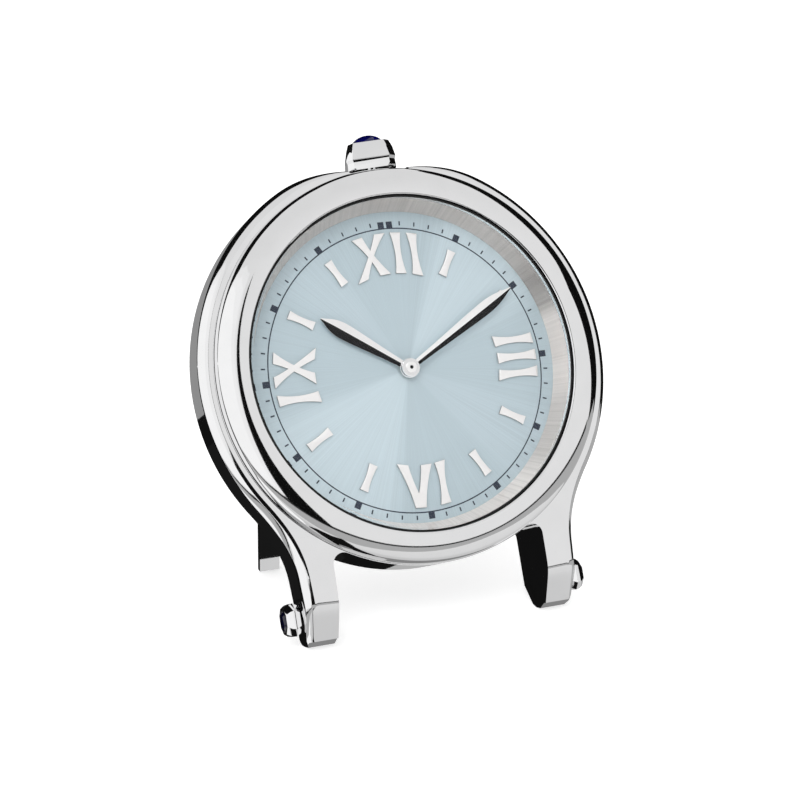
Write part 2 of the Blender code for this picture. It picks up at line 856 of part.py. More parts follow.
def make_hand(name, angle, length, width, hub_radius, bore_radius, height, boss_height):
    """A leaf-shaped hand on a round hub; the boss is the hub's raised middle."""
    axis = make_empty(f"{name}_line", DIAL_AXIS, turn=(0, 0, -angle))
    sections = leaf_sections(length, width, hub_radius - hand_root_sink, height)
    hand = lofted(name, sections, axis, polished_steel)
    top = height + hub_thickness
    profile = [(hub_radius, top), (hub_radius, height - fit_gap), (bore_radius, height - fit_gap)]
    if boss_height:
        profile = [(bore_radius, top + boss_height), (hub_boss_radius, top + boss_height),
                   (hub_boss_radius, top)] + profile
    else:
        profile = [(bore_radius, top)] + profile
    join(hand, turned(f"{name}_hub", profile, axis, steps=small_steps))
    return hand


def gear_outline(teeth, module, turn):
    """A spur gear's outline with narrow teeth, one of them centred on the turn angle."""
    pitch = 2 * math.pi / teeth
    radius = module * teeth / 2
    tip = radius + module * addendum_share
    root = radius - module * dedendum_share
    points = []
    for i in range(teeth):
        middle = turn + i * pitch
        for reach, share in ((root, -tooth_root_share), (tip, -tooth_tip_share), (tip, tooth_tip_share),
                             (root, tooth_root_share)):
            angle = middle + share * pitch
            points.append((reach * math.cos(angle), reach * math.sin(angle)))
    return points


def make_motion_work():
    """The wheels under the dial that turn the hour hand once for twelve turns of the minute hand."""
    towards = motion_work_angle
    wheel_axis = make_empty("minute_wheel_axis", DIAL_AXIS, (wheel_side, wheel_rise, 0))

    tip = minute_hand_height + hub_thickness + hub_boss_height - fit_gap
    shoulder = minute_hand_height - fit_gap * 2
    arbor = turned(
        "minute_arbor",
        [
            (0, tip),
            (arbor_tip_radius, tip),
            (arbor_tip_radius, shoulder),
            (arbor_radius, shoulder),
            (arbor_radius, plate_rear),
            (0, plate_rear),
        ],
        DIAL_AXIS,
        brass,
        small_steps,
        closed=False,
    )
    pinion = plate("arbor_pinion", [gear_outline(arbor_teeth, wheel_module, towards)], pinion_front,
                   pinion_rear, DIAL_AXIS)
    join(arbor, pinion)

    hour_turn = towards + math.pi / hour_wheel_teeth
    hour_wheel = plate(
        "hour_wheel",
        [gear_outline(hour_wheel_teeth, hour_module, hour_turn), circle(pipe_bore_radius, small_steps)],
        hour_wheel_front,
        hour_wheel_rear,
        DIAL_AXIS,
        brass,
    )
    pipe = ring("hour_pipe", pipe_radius, pipe_bore_radius, pipe_top, hour_wheel_rear + laid_gap, DIAL_AXIS,
                steps=small_steps)
    join(hour_wheel, pipe)

    post_bore = circle(post_radius + fit_gap, pin_steps)
    back_towards = towards + math.pi
    minute_turn = back_towards + math.pi / minute_wheel_teeth
    wheel = plate(
        "minute_wheel",
        [gear_outline(minute_wheel_teeth, wheel_module, minute_turn), post_bore],
        pinion_front,
        pinion_rear,
        wheel_axis,
        brass,
    )
    small = plate(
        "minute_wheel_pinion",
        [gear_outline(minute_pinion_teeth, hour_module, back_towards), post_bore],
        hour_wheel_front,
        pinion_front - wheel_thickness / 2,
        wheel_axis,
    )
    join(wheel, small)


def make_movement():
    main = turned("main_plate", disc(plate_radius, plate_front, plate_rear), DIAL_AXIS, brass, closed=False)
    recess_floor_height = plate_front - plate_recess_depth
    recess = rod("plate_recess", plate_recess_radius, plate_front + overrun, recess_floor_height, DIAL_AXIS,
                 steps=ring_steps)
    hole = rod("plate_hole", arbor_radius + fit_gap, overrun, plate_rear - overrun, DIAL_AXIS)
    stem_hole = rod("plate_stem_hole", stem_radius + seat_gap, plate_radius + overrun, stem_foot - seat_gap,
                    CROWN_LINE, steps=pin_steps)
    slot_low = (-clip_slot_half - seat_gap, groove_foot - seat_gap, plate_rear - overrun)
    slot_high = (clip_slot_half + seat_gap, groove_foot + groove_length + crown_pull + seat_gap,
                 -crown_back + clip_reach)
    slot = block("plate_clip_slot", slot_low, slot_high, CLOCK_AXIS)
    cut(main, recess, hole, stem_hole, slot)
    post = rod("wheel_post", post_radius, hour_wheel_front, plate_rear + plate_thickness / 4,
               make_empty("wheel_post_place", DIAL_AXIS, (wheel_side, wheel_rise, 0)), steps=pin_steps)
    join(main, post)

    holder = ring("movement_ring", ledge_radius - seat_gap, ring_inner_radius, plate_front, plate_rear,
                  CLOCK_AXIS, black_plastic)
    holder_hole = rod("ring_stem_hole", stem_radius + seat_gap, ledge_radius + overrun,
                      plate_radius - overrun, CROWN_LINE, steps=pin_steps)
    cut(holder, holder_hole)

    floor = plate_rear - seat_gap
    module_loop = rounded_box(module_length / 2, module_width / 2, module_corner,
                              (module_offset, module_rise))
    plate("motor_module", [module_loop], floor, floor - module_depth, DIAL_AXIS, black_plastic)

    coil_axis = make_empty("coil_axis", DIAL_AXIS, (0, coil_offset, floor - coil_flange_radius),
                           (0, QUARTER_TURN, 0))
    half, rim = coil_length / 2, coil_length / 2 - coil_flange_length
    turned(
        "coil",
        [
            (0, half),
            (coil_flange_radius, half),
            (coil_flange_radius, rim),
            (coil_radius, rim),
            (coil_radius, -rim),
            (coil_flange_radius, -rim),
            (coil_flange_radius, -half),
            (0, -half),
        ],
        coil_axis,
        lambda name: finish(name, (0.60, 0.28, 0.12), 0.8, 0.4),
        small_steps,
        closed=False,
    )

    sweep = board_half_sweep
    board_loop = arc((0, 0), board_radius, -sweep, sweep, flank_steps)
    board_loop += arc((0, 0), board_inner_radius, sweep, -sweep, flank_steps)
    plate("circuit_board", [board_loop], floor, floor - board_thickness, DIAL_AXIS,
          lambda name: finish(name, (0.02, 0.22, 0.10), 0.0, 0.5))

    battery_axis = make_empty("battery_axis", DIAL_AXIS, (-battery_offset, -battery_drop, floor))
    edge = crystal_edge_bevel
    turned(
        "battery",
        [
            (0, 0),
            (battery_radius - edge * 2, 0),
            (battery_radius, -edge),
            (battery_radius, -battery_thickness),
            (0, -battery_thickness),
        ],
        battery_axis,
        brushed_steel,
        small_steps,
        closed=False,
    )
    clip_top = -battery_thickness - fit_gap
    half = battery_radius + clip_overhang
    clip = block("battery_clip", (-half, -clip_width / 2, clip_top - clip_thickness),
                 (half, clip_width / 2, clip_top), battery_axis, brushed_steel)
    for side in (-1, 1):
        inner = side * (battery_radius + fit_gap * 2)
        low_x, high_x = sorted((inner, side * half))
        leg = block(f"battery_clip_leg_{side}", (low_x, -clip_width / 2, clip_top - clip_thickness / 2),
                    (high_x, clip_width / 2, 0), battery_axis)
        join(clip, leg)


def cut_corner_square(flat, corner, height):
    """A square with its corners cut off, as a section at a height."""
    half = flat / 2
    near = half - corner
    loop = [(half, near), (near, half), (-near, half), (-half, near)]
    loop += [(-x, -y) for x, y in loop]
    return [(x, y, height) for x, y in loop]


def dome(radius, height, base):
    """The profile of a polished stone's top, from its crown down to its girdle."""
    points = []
    for i in range(corner_steps + 1):
        turn = QUARTER_TURN * i / corner_steps
        points.append((radius * math.sin(turn), base + height * math.cos(turn)))
    return points


def make_crown():
    spin = make_empty("crown_axis", CROWN_LINE, (0, 0, crown_foot), (0, 0, crown_turn))
    top = crown_height
    sections = [
        cut_corner_square(crown_flat * width_share, crown_corner * width_share, top * height_share)
        for height_share, width_share in crown_shares
    ]
    sections.append(cut_corner_square(crown_flat, crown_corner, -overrun))
    crown = lofted("crown", sections, spin, polished_steel)
    barrel = [(0, top + overrun), (crown_radius, top + overrun)]
    for i in range(curve_steps + 1):
        turn = QUARTER_TURN * i / curve_steps
        radius = crown_foot_radius + (crown_radius - crown_foot_radius) * math.cos(turn)
        barrel.append((radius, crown_foot_height * (1 - math.sin(turn))))
    barrel.append((0, 0))
    body = turned("crown_barrel", barrel, spin, steps=ring_steps, closed=False)
    combine(crown, body, "INTERSECT")
    base = top - cabochon_sink
    seat = rod("crown_stone_seat", cabochon_radius + fit_gap, top + overrun, base - fit_gap, spin)
    bore = rod("crown_bore", stem_radius + fit_gap, crown_bore_depth, -overrun, spin, steps=pin_steps)
    cut(crown, seat, bore)

    turned("crown_cabochon", dome(cabochon_radius, cabochon_height + cabochon_sink, base) + [(0, base)],
           spin, sapphire, small_steps, closed=False)

    line = CROWN_LINE
    stem_top = crown_foot + crown_bore_depth - fit_gap
    groove_top = groove_foot + groove_length
    turned(
        "crown_stem",
        [
            (0, stem_top),
            (stem_radius, stem_top),
            (stem_radius, groove_top),
            (groove_radius, groove_top),
            (groove_radius, groove_foot),
            (stem_radius, groove_foot),
            (stem_radius, stem_foot),
            (0, stem_foot),
        ],
        line,
        brushed_steel,
        pin_steps,
        closed=False,
    )
    ring("crown_tube", tube_radius, stem_radius + fit_gap, recess_floor + tube_stand, ledge_radius, line,
         polished_steel, pin_steps)

    fork_low = groove_foot + (groove_length - clip_blade) / 2
    fork = block("stem_clip", (-clip_slot_half, fork_low, -crown_back - clip_reach),
                 (clip_slot_half, fork_low + clip_blade, -crown_back + clip_reach - seat_gap), CLOCK_AXIS,
                 brushed_steel)
    throat = groove_radius + fit_gap
    mouth = block("stem_clip_mouth", (-throat, fork_low - overrun, -crown_back - throat),
                  (throat, fork_low + overrun, overrun), CLOCK_AXIS)
    cut(fork, mouth)


def make_knobs():
    for side, axis in KNOB_AXES.items():
        sections = [
            cut_corner_square(knob_flat * width_share, knob_corner, knob_length * height_share)
            for height_share, width_share in knob_shares
        ]
        knob = lofted(f"knob_setting_{side}", sections, axis, polished_steel)
        stud = rod(f"knob_stud_{side}", knob_stud_radius, knob_length / 2, -knob_stud_length, axis,
                   steps=pin_steps)
        join(knob, stud)
        base = knob_length - knob_cabochon_sink
        seat = rod(f"knob_seat_{side}", knob_cabochon_radius + fit_gap, knob_length + overrun, base - fit_gap,
                   axis, steps=small_steps)
        cut(knob, seat)
        turned(f"knob_cabochon_{side}",
               dome(knob_cabochon_radius, knob_cabochon_height, base) + [(0, base)], axis, sapphire,
               small_steps, closed=False)


def screw_angles():
    spacing = 2 * math.pi / back_screw_count
    return [spacing * (i + 1 / 2) for i in range(back_screw_count)]


def screw_profile(length):
    """A flush screw seen from its head, which is at height 0 and looks along -Z."""
    head = screw_head_radius
    return [(0, length), (screw_radius, length), (screw_radius, screw_head_depth),
            (head, screw_head_depth), (head, 0), (0, 0)]


def make_screw(name, place, length):
    axis = make_empty(f"{name}_place", CLOCK_AXIS, place)
    screw = turned(name, screw_profile(length), axis, brushed_steel, pin_steps, closed=False)
    slot = block(f"{name}_slot", (-screw_head_radius * 2, -screw_slot_width / 2, -overrun),
                 (screw_head_radius * 2, screw_slot_width / 2, screw_slot_depth), axis)
    cut(screw, slot)


def screw_hole(name, place, parent=None):
    """A counterbored hole for a flush screw whose head is at the place."""
    axis = make_empty(f"{name}_place", parent or CLOCK_AXIS, place)
    gap = fit_gap
    profile = [(0, overrun), (screw_radius + gap, overrun), (screw_radius + gap, screw_head_depth + gap),
               (screw_head_radius + gap, screw_head_depth + gap), (screw_head_radius + gap, -overrun),
               (0, -overrun)]
    return turned(name, profile, axis, steps=pin_steps, closed=False)


def make_back():
    back = turned(
        "case_back",
        [
            (0, back_front + back_spigot_depth),
            (rear_bore_radius - fit_gap * 2, back_front + back_spigot_depth),
            (rear_bore_radius - fit_gap * 2, back_front),
            (back_radius, back_front),
            (back_radius, back_rear + crystal_edge_bevel),
            (back_radius - crystal_edge_bevel, back_rear),
            (0, back_rear),
        ],
        CLOCK_AXIS,
        brushed_steel,
        ring_steps,
        closed=False,
    )
    ring("back_gasket", rear_bore_radius + back_gasket_width + fit_gap, rear_bore_radius + fit_gap,
         frame_rear - fit_gap, back_front + fit_gap, CLOCK_AXIS, black_plastic)
    for i, angle in enumerate(screw_angles()):
        x, y = clock_point(screw_circle, angle)
        place = (x, y, back_rear)
        cut(back, screw_hole(f"back_hole_{i + 1}", place))
        make_screw(f"back_screw_{i + 1}", place, screw_length)
    for side_name, side in (("left", -1), ("right", 1)):
        make_bracket(side_name, side, back)


def make_bracket(side_name, side, back):
    """A hinge bracket on the case back, its two screws and their holes."""
    near = barrel_half_length + seat_gap
    far = near + bracket_length
    low_x, high_x = sorted((side * near, side * far))
    base_front = back_rear - laid_gap
    base_rear = base_front - bracket_base
    bracket = block(f"hinge_bracket_{side_name}", (low_x, stand_rise - bracket_foot, base_rear),
                    (high_x, stand_rise + bracket_rise, base_front), CLOCK_AXIS, polished_steel)
    knuckle_axis = make_empty(f"knuckle_place_{side_name}", CLOCK_AXIS, (0, stand_rise, hinge_back),
                              (0, QUARTER_TURN, 0))
    knuckle = rod(f"knuckle_{side_name}", barrel_radius, high_x, low_x, knuckle_axis)
    web = block(f"knuckle_web_{side_name}", (low_x, stand_rise - barrel_radius, hinge_back),
                (high_x, stand_rise + barrel_radius, base_rear + bracket_base / 2), CLOCK_AXIS)
    pin_hole = rod(f"bracket_pin_hole_{side_name}", hinge_pin_radius + hinge_running_gap, far * 2, -far * 2,
                   knuckle_axis, steps=pin_steps)
    join(bracket, knuckle, web)
    cut(bracket, pin_hole)
    for i in range(2):
        x = side * (near + far) / 2
        y = stand_rise + barrel_radius + bracket_screw_start + bracket_screw_pitch * i
        place = (x, y, base_rear)
        name = f"bracket_screw_{side_name}_{i + 1}"
        cut(bracket, screw_hole(f"{name}_hole", place))
        pilot = rod(f"{name}_pilot", screw_radius + fit_gap, bracket_screw_length + seat_gap, -overrun,
                    make_empty(f"{name}_pilot_place", CLOCK_AXIS, place), steps=pin_steps)
        cut(back, pilot)
        make_screw(name, place, bracket_screw_length)


def stand_length():
    """How far down the arms the stand meets the floor."""
    height = dial_height + stand_rise * math.cos(lean_angle) + hinge_back * math.sin(lean_angle)
    return height / math.cos(lean_angle - stand_open)


def make_stand():
    axis = make_empty("stand_axis", CLOCK_AXIS, (0, stand_rise, hinge_back), (stand_open, 0, 0))
    reach = stand_length() + overrun
    half = stand_thickness / 2
    top, low = -crossbar_drop, -crossbar_drop - crossbar_height
    inner = stand_half_width - arm_width
    outline = [(barrel_half_length, 0), (barrel_half_length, top), (stand_half_width - crossbar_corner, top)]
    outline += arc((stand_half_width - crossbar_corner, top - crossbar_corner), crossbar_corner,
                   QUARTER_TURN, 0, corner_steps)[1:]
    outline += [(stand_half_width, -reach), (inner, -reach), (inner, low - crossbar_corner)]
    outline += arc((inner - crossbar_corner, low - crossbar_corner), crossbar_corner, 0, QUARTER_TURN,
                   corner_steps)[1:]
    loop = outline + [(-x, y) for x, y in reversed(outline)]
    stand = plate("stand_frame", [loop], half, -half, axis, polished_steel)

    wedge_top = low - crossbar_corner
    wedge = [
        (wedge_top, -half),
        (-reach - overrun, half - stand_foot_thickness),
        (-reach - overrun, -half - overrun),
        (wedge_top, -half - overrun),
    ]
    wide = stand_half_width + overrun
    taper = plate("stand_taper", [wedge], wide, -wide, axis, turn=side_profile())
    cut(stand, taper)

    barrel_axis = make_empty("barrel_axis", axis, turn=(0, QUARTER_TURN, 0))
    barrel = rod("stand_barrel", barrel_radius, barrel_half_length, -barrel_half_length, barrel_axis)
    lever = (stand_back - seat_gap - heel_thickness / 2 * math.cos(stand_open)) / math.sin(stand_open)
    heel = block("stand_heel", (-barrel_half_length / 2, 0, -heel_thickness / 2),
                 (barrel_half_length / 2, lever, heel_thickness / 2), axis)
    pin_hole = rod("stand_pin_hole", hinge_pin_radius + hinge_running_gap, wide, -wide, barrel_axis,
                   steps=pin_steps)
    deep = stand_length() + frame_radius
    floor = block("stand_floor_cutter", (-wide, -deep, -deep), (wide, deep, 0), None)
    join(stand, barrel, heel)
    cut(stand, pin_hole, floor)

    pin_half = barrel_half_length + seat_gap + bracket_length
    pin_axis = make_empty("hinge_pin_axis", CLOCK_AXIS, (0, stand_rise, hinge_back), (0, QUARTER_TURN, 0))
    rod("hinge_pin", hinge_pin_radius, pin_half, -pin_half, pin_axis, brushed_steel, pin_steps)


def centre_on_floor():
    """Moves the whole clock along Y until the middle of its box is over the origin."""
    bpy.context.view_layer.update()
    graph = bpy.context.evaluated_depsgraph_get()
    places = []
    for piece in CLOCK.objects:
        if piece.type == "MESH":
            solid = piece.evaluated_get(graph)
            places += [(solid.matrix_world @ vert.co).y for vert in solid.data.vertices]
    CLOCK_AXIS.location.y = -(min(places) + max(places)) / 2
    bpy.context.view_layer.update()


def print_axes():
    """The joints' places and axes at rest."""
    for name in ("clock_axis", "dial_axis", "minute_wheel_axis", "crown_axis", "stand_axis"):
        matrix = bpy.data.objects[name].matrix_world
        place = [round(value, 6) for value in matrix.translation]
        along = [[round(value, 6) for value in matrix.col[i].xyz] for i in range(3)]
        print(name, place, along)


clear_scene()
CLOCK = make_collection("table_clock")
CUTTERS = make_collection("cutters")
CLOCK_AXIS = make_empty("clock_axis", None, (0, 0, dial_height), (QUARTER_TURN - lean_angle, 0, 0))
DIAL_AXIS = make_empty("dial_axis", CLOCK_AXIS, (0, -dial_drop, 0))
CROWN_LINE = make_empty("crown_line", CLOCK_AXIS, (0, 0, -crown_back), (-QUARTER_TURN, 0, 0))
KNOB_AXES = {
    "left": make_empty("knob_axis_left", CLOCK_AXIS, (-leg_side_half, -knob_drop, -knob_back),
                       (0, -QUARTER_TURN, 0)),
    "right": make_empty("knob_axis_right", CLOCK_AXIS, (leg_side_half, -knob_drop, -knob_back),
                        (0, QUARTER_TURN, 0)),
}
make_frame()
make_bezel()
make_crystal()
make_rehaut()
make_dial()
make_marks()
make_hand("hour_hand", hour_angle, hour_hand_length, hour_hand_width, hour_hub_radius, pipe_radius + fit_gap,
          hour_hand_height, 0)
make_hand("minute_hand", minute_angle, minute_hand_length, minute_hand_width, minute_hub_radius,
          arbor_tip_radius + laid_gap, minute_hand_height, hub_boss_height)
make_motion_work()
make_movement()
make_crown()
make_knobs()
make_back()
make_stand()
centre_on_floor()
print_axes()
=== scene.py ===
"""The looks of the table clock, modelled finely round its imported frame.

Pieces are drawn in the clock's own frame, whose X points right, whose Y points to twelve o'clock and whose Z is
the dial's normal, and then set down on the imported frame.
"""

import json
import math

import bmesh
import bpy
from mathutils import Matrix, Vector


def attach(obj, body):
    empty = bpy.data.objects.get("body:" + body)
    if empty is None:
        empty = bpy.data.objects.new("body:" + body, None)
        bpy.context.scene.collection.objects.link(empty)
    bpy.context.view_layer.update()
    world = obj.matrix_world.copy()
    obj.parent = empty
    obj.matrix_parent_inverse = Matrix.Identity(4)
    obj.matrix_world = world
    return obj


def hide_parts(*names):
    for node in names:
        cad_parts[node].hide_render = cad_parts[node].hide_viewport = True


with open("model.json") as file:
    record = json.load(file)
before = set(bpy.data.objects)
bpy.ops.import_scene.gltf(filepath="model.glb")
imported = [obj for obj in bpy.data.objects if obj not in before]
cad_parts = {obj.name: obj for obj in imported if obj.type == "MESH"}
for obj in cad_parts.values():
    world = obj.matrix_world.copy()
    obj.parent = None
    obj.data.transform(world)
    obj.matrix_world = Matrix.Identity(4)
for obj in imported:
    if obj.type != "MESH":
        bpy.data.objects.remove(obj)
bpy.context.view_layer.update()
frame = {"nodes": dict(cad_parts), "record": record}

MM = 0.001
QUARTER_TURN = math.pi / 2
FULL_TURN = 2 * math.pi
WHITE = (1, 1, 1, 1)
SIDES = (("left", -1), ("right", 1))
joints = {joint["name"]: joint for joint in frame["record"]["behaviour"]["joints"]}

# Clearances and fineness
seat_gap = 0.3 * MM
laid_gap = 0.05 * MM
fit_gap = 0.1 * MM
weld_distance = 0.0005 * MM
overrun = 5.0 * MM
turn_steps = 256
small_turn_steps = 96
curve_steps = 24
corner_steps = 8
rounding_steps = 4
rim_steps = 14
dome_steps = 960
dome_points = 96
crease_angle = math.radians(32)
rim_crease_angle = math.radians(19)

# Case frame; the legs' crease is cut at steps of its softness
frame_radius = 40.0 * MM
frame_front = 1.87 * MM
front_bevel_width = 1.8 * MM
front_bevel_depth = 1.32 * MM
leg_bevel_extra = 0.9 * MM
side_wall_height = 6.75 * MM
rear_bevel_width = 2.8 * MM
rear_bevel_depth = 4.8 * MM
edge_rounding = 0.16 * MM
rim_width = 1.1 * MM
rim_height = 0.3 * MM
rim_crease_rounding = 0.12 * MM
rim_start_slope = math.radians(41)
front_slope_depth = 0.17 * MM
shoulder_drop = 1.8 * MM
shoulder_start = math.radians(9)
shoulder_end = math.radians(30)
shoulder_bevel_share = 0.3
recess_half_width = 5.7 * MM
recess_depth = 3.0 * MM
flank_angle = math.radians(125)
flank_pull = 5.5 * MM
flank_return = 5.0 * MM
leg_inset = 12.8 * MM
leg_width = 6.5 * MM
leg_top_rise = 13.1 * MM
leg_side_slope = math.radians(3.5)
leg_toe_width = 2.9 * MM
leg_toe_radius = 3.4 * MM
leg_reach = 9.6 * MM
leg_root_radius = 2.0 * MM
crease_rise = 8.05 * MM
crease_softness = 1.2 * MM
crease_steps = (-2.2, -1.4, -0.9, -0.45, 0, 0.45, 0.9, 1.4, 2.2)
toe_bend = math.radians(33)
toe_front_rise = 1.9 * MM
toe_front_back = 3.0 * MM
toe_low_rise = 1.0 * MM
toe_low_back = 5.2 * MM
toe_rear_rise = 1.4 * MM
toe_rear_back = 8.0 * MM
heel_rise = 5.7 * MM

# Bezel, crystal and the ring round the dial; slopes are given as (share of the way out, degrees)
bezel_margin = 2.8 * MM
bezel_width = 5.65 * MM
bezel_crest_width = 0.4 * MM
bezel_rise = 3.78 * MM
bezel_lip_drop = 0.15 * MM
bezel_lip_rounding = 0.12 * MM
bezel_spigot_wall = 1.25 * MM
bezel_spigot_depth = 2.0 * MM
bezel_slopes = ((0, 0), (0.427, 12.3), (0.6, 17.1), (0.745, 22), (0.822, 29), (0.87, 39), (0.909, 51),
                (0.938, 64), (0.961, 74), (0.986, 81), (1, 84.5))
arch_lip = 0.15 * MM
crystal_thickness = 1.3 * MM
crystal_edge_bevel = 0.25 * MM
crystal_drop = 0.1 * MM
gasket_wall = 0.34 * MM
rehaut_foot_width = 2.05 * MM
rehaut_top_width = 0.5 * MM
ledge_width = 3.7 * MM
dial_overlap = 1.9 * MM

# Dial and its print
dial_drop = 0.65 * MM
dial_thickness = 0.4 * MM
dial_hole_radius = 1.6 * MM
track_radius = 26.95 * MM
track_width = 0.23 * MM
tick_inner_radius = 27.5 * MM
tick_outer_radius = 28.3 * MM
tick_width = 0.27 * MM
square_width = 1.2 * MM
square_inner_radius = 26.87 * MM
square_outer_radius = 28.27 * MM
twelve_square_offset = 0.84 * MM
ink_thickness = 0.015 * MM
tick_overprint = 1.2

# Applied hour marks; a mark's front is the faces whose normals have mark_front_normal or more along the dial's
# normal, and its other faces, its edges, carry a painted shade
mark_thickness = 0.35 * MM
mark_bevel = 0.07 * MM
mark_front_normal = 0.9
mark_margin = 3.4 * MM
mark_length = 7.9 * MM
stroke_end_width = 2.15 * MM
stroke_waist_width = 1.2 * MM
vee_waist_width = 1.5 * MM
six_shift = 0.3 * MM
letter_spread = 4.6 * MM
stroke_pitch = 3.25 * MM
ten_offset_at_twelve = 3.8 * MM
ten_offset_at_nine = 2.45 * MM
baton_margin = 1.3 * MM
baton_length = 5.2 * MM
baton_end_width = 1.75 * MM
baton_waist_width = 1.25 * MM
hour_step = math.radians(30)

# Hands; their outline is given as (share of the length, share of the width), evened out by hand_smoothing
hand_gap = 0.35 * MM
hand_edge_thickness = 0.12 * MM
hand_ridge_thickness = 0.42 * MM
hour_hand_margin = 7.0 * MM
hour_hand_width = 3.15 * MM
hour_hub_radius = 1.85 * MM
minute_hand_overlap = 0.1 * MM
minute_hand_width = 2.65 * MM
minute_hub_radius = 1.75 * MM
hub_thickness = 0.35 * MM
hub_boss_radius = 1.05 * MM
hub_boss_height = 0.35 * MM
hand_root_sink = 0.35 * MM
arbor_tip_radius = 0.3 * MM
hour_pipe_radius = 1.27 * MM
hour_angle = math.radians(-55)
minute_angle = math.radians(60)
hand_crease_angle = math.radians(6)
hand_smoothing = 0.03
hand_front_normal = 0.5
hand_shares = ((0, 0.43), (0.2, 0.57), (0.4, 0.75), (0.6, 0.93), (0.72, 1), (0.8, 0.95), (0.88, 0.72),
               (0.95, 0.34), (1, 0.05))

# Crown and knobs; their outlines are given as (share of the height, share of the width)
crown_back = 2.4 * MM
crown_flat = 9.45 * MM
crown_corner = 1.2 * MM
crown_shares = ((1, 0.82), (0.72, 0.94), (0.38, 1), (0.28, 0.95), (0, 0.97))
crown_height = 5.35 * MM
crown_gap = 0.75 * MM
crown_radius = 6.0 * MM
crown_foot_radius = 5.4 * MM
crown_foot_height = 1.6 * MM
crown_top_radius = 5.1 * MM
crown_turn = math.radians(-15.5)
crown_bore_depth = 2.2 * MM
cabochon_radius = 3.3 * MM
cabochon_height = 2.0 * MM
cabochon_sink = 0.4 * MM
stem_radius = 0.6 * MM
knob_rise = 6.4 * MM
knob_back = 5.1 * MM
knob_flat = 6.0 * MM
knob_corner = 1.3 * MM
knob_shares = ((1, 0.78), (0.72, 0.94), (0.42, 1), (0.09, 0.84))
knob_length = 2.85 * MM
knob_cabochon_radius = 1.8 * MM
knob_cabochon_height = 0.8 * MM
knob_cabochon_sink = 0.3 * MM
facet_rounding = 0.1 * MM

# Back and stand
back_margin = 1.6 * MM
back_flange = 4.1 * MM
back_thickness = 1.3 * MM
back_spigot_depth = 1.4 * MM
back_gasket_thickness = 0.4 * MM
back_screw_count = 4
screw_margin = 1.7 * MM
screw_radius = 0.6 * MM
screw_head_radius = 1.15 * MM
screw_head_depth = 0.7 * MM
screw_slot_width = 0.35 * MM
screw_slot_depth = 0.3 * MM
stand_rise = 6.7 * MM
stand_back = 2.7 * MM
stand_open = math.radians(31)
stand_thickness = 2.2 * MM
stand_foot_thickness = 1.1 * MM
stand_half_width = 24.1 * MM
arm_width = 4.1 * MM
crossbar_drop = 4.6 * MM
crossbar_height = 5.6 * MM
crossbar_corner = 2.4 * MM
barrel_radius = 1.7 * MM
barrel_half_length = 10.4 * MM
heel_thickness = 1.6 * MM
hinge_pin_radius = 0.75 * MM
hinge_running_gap = 0.08 * MM
bracket_length = 5.0 * MM
bracket_base = 1.0 * MM
bracket_rise = 9.0 * MM
bracket_foot = 2.6 * MM
bracket_screw_start = 1.7 * MM
bracket_screw_pitch = 3.2 * MM

# Finishes: sectors are given as (degrees from twelve o'clock, tone); the rehaut's and the dial's sectors are painted
# sheen and shade of their brushing
steel_colour = (0.9, 0.9, 0.905)
steel_roughness = 0.045
satin_colour = (0.74, 0.74, 0.75)
rehaut_tint = (1, 0.94, 0.9)
# Painted sheen and shade of the rehaut's brushing: its tone by degrees from twelve o'clock
rehaut_painted_sheen = ((0, 0.56), (40, 0.56), (56, 0.5), (64, 0.37), (73, 0.45), (79, 0.8), (104, 0.8), (112, 0.62),
                  (130, 0.64), (142, 0.84), (205, 0.84), (240, 0.6), (350, 0.56))
# The dial's blues where its sunburst is painted in light, in shade and in between, then their sectors round the dial
dial_blues = {"shade": (0.475, 0.575, 0.622), "light": (0.562, 0.668, 0.718), "mild": (0.505, 0.605, 0.655)}
dial_painted_sheen = ((0, "shade"), (18, "shade"), (27, "light"), (64, "light"), (74, "shade"), (108, "shade"),
                (116, "mild"), (140, "mild"), (147, "shade"), (189, "shade"), (200, "light"), (250, "light"),
                (260, "shade"), (304, "shade"), (314, "mild"), (327, "mild"), (335, "shade"))

# Plain finishes: name, colour, metallic, roughness, the grain's scale, share and depth, and other inputs
plain_looks = {
    "stone": ("blue_stone", (0.002, 0.002, 0.07), 0, 0.03, 400, 0.3, 0, {"IOR": 1.6}),
    "small_stone": ("small_blue_stone", (0.001, 0.001, 0.012), 0, 0.03, 400, 0.3, 0, {"IOR": 1.6}),
    "mark": ("mark_steel", (0.86, 0.85, 0.845), 0.35, 0.4, 1500, 0.015),
    # The marks' edges: painted shade, a darker copy of the marks' steel
    "mark_edge": ("mark_edge", (0.36, 0.36, 0.36), 0.3, 0.4, 1500, 0.02),
    "hand_bright": ("hand_bright", (0.88, 0.875, 0.87), 0.5, 0.3, 1500, 0.02),
    # Painted shade in black: the hands' dark slope and the tip of the minute arbor
    "hand_dark": ("hand_dark", (0.006, 0.006, 0.007), 0.0, 0.3, 1500, 0.1, 0.003 * MM, {"Specular IOR Level": 0.2}),
    "ink": ("dial_ink", (0.020, 0.030, 0.052), 0, 0.5, 4000, 0.1, 0),
    "gasket": ("gasket_rubber", (0.003, 0.003, 0.003), 0, 0.7, 3000, 0.1),
    "brass": ("movement_brass", (0.72, 0.55, 0.26), 1, 0.3, 1200, 0.06),
    "plastic": ("black_moulding", (0.02, 0.02, 0.02), 0, 0.5, 3000, 0.1),
    "copper": ("copper_winding", (0.55, 0.24, 0.10), 0.9, 0.35, 6000, 0.2),
    "board": ("green_board", (0.015, 0.16, 0.07), 0, 0.45, 800, 0.1),
}

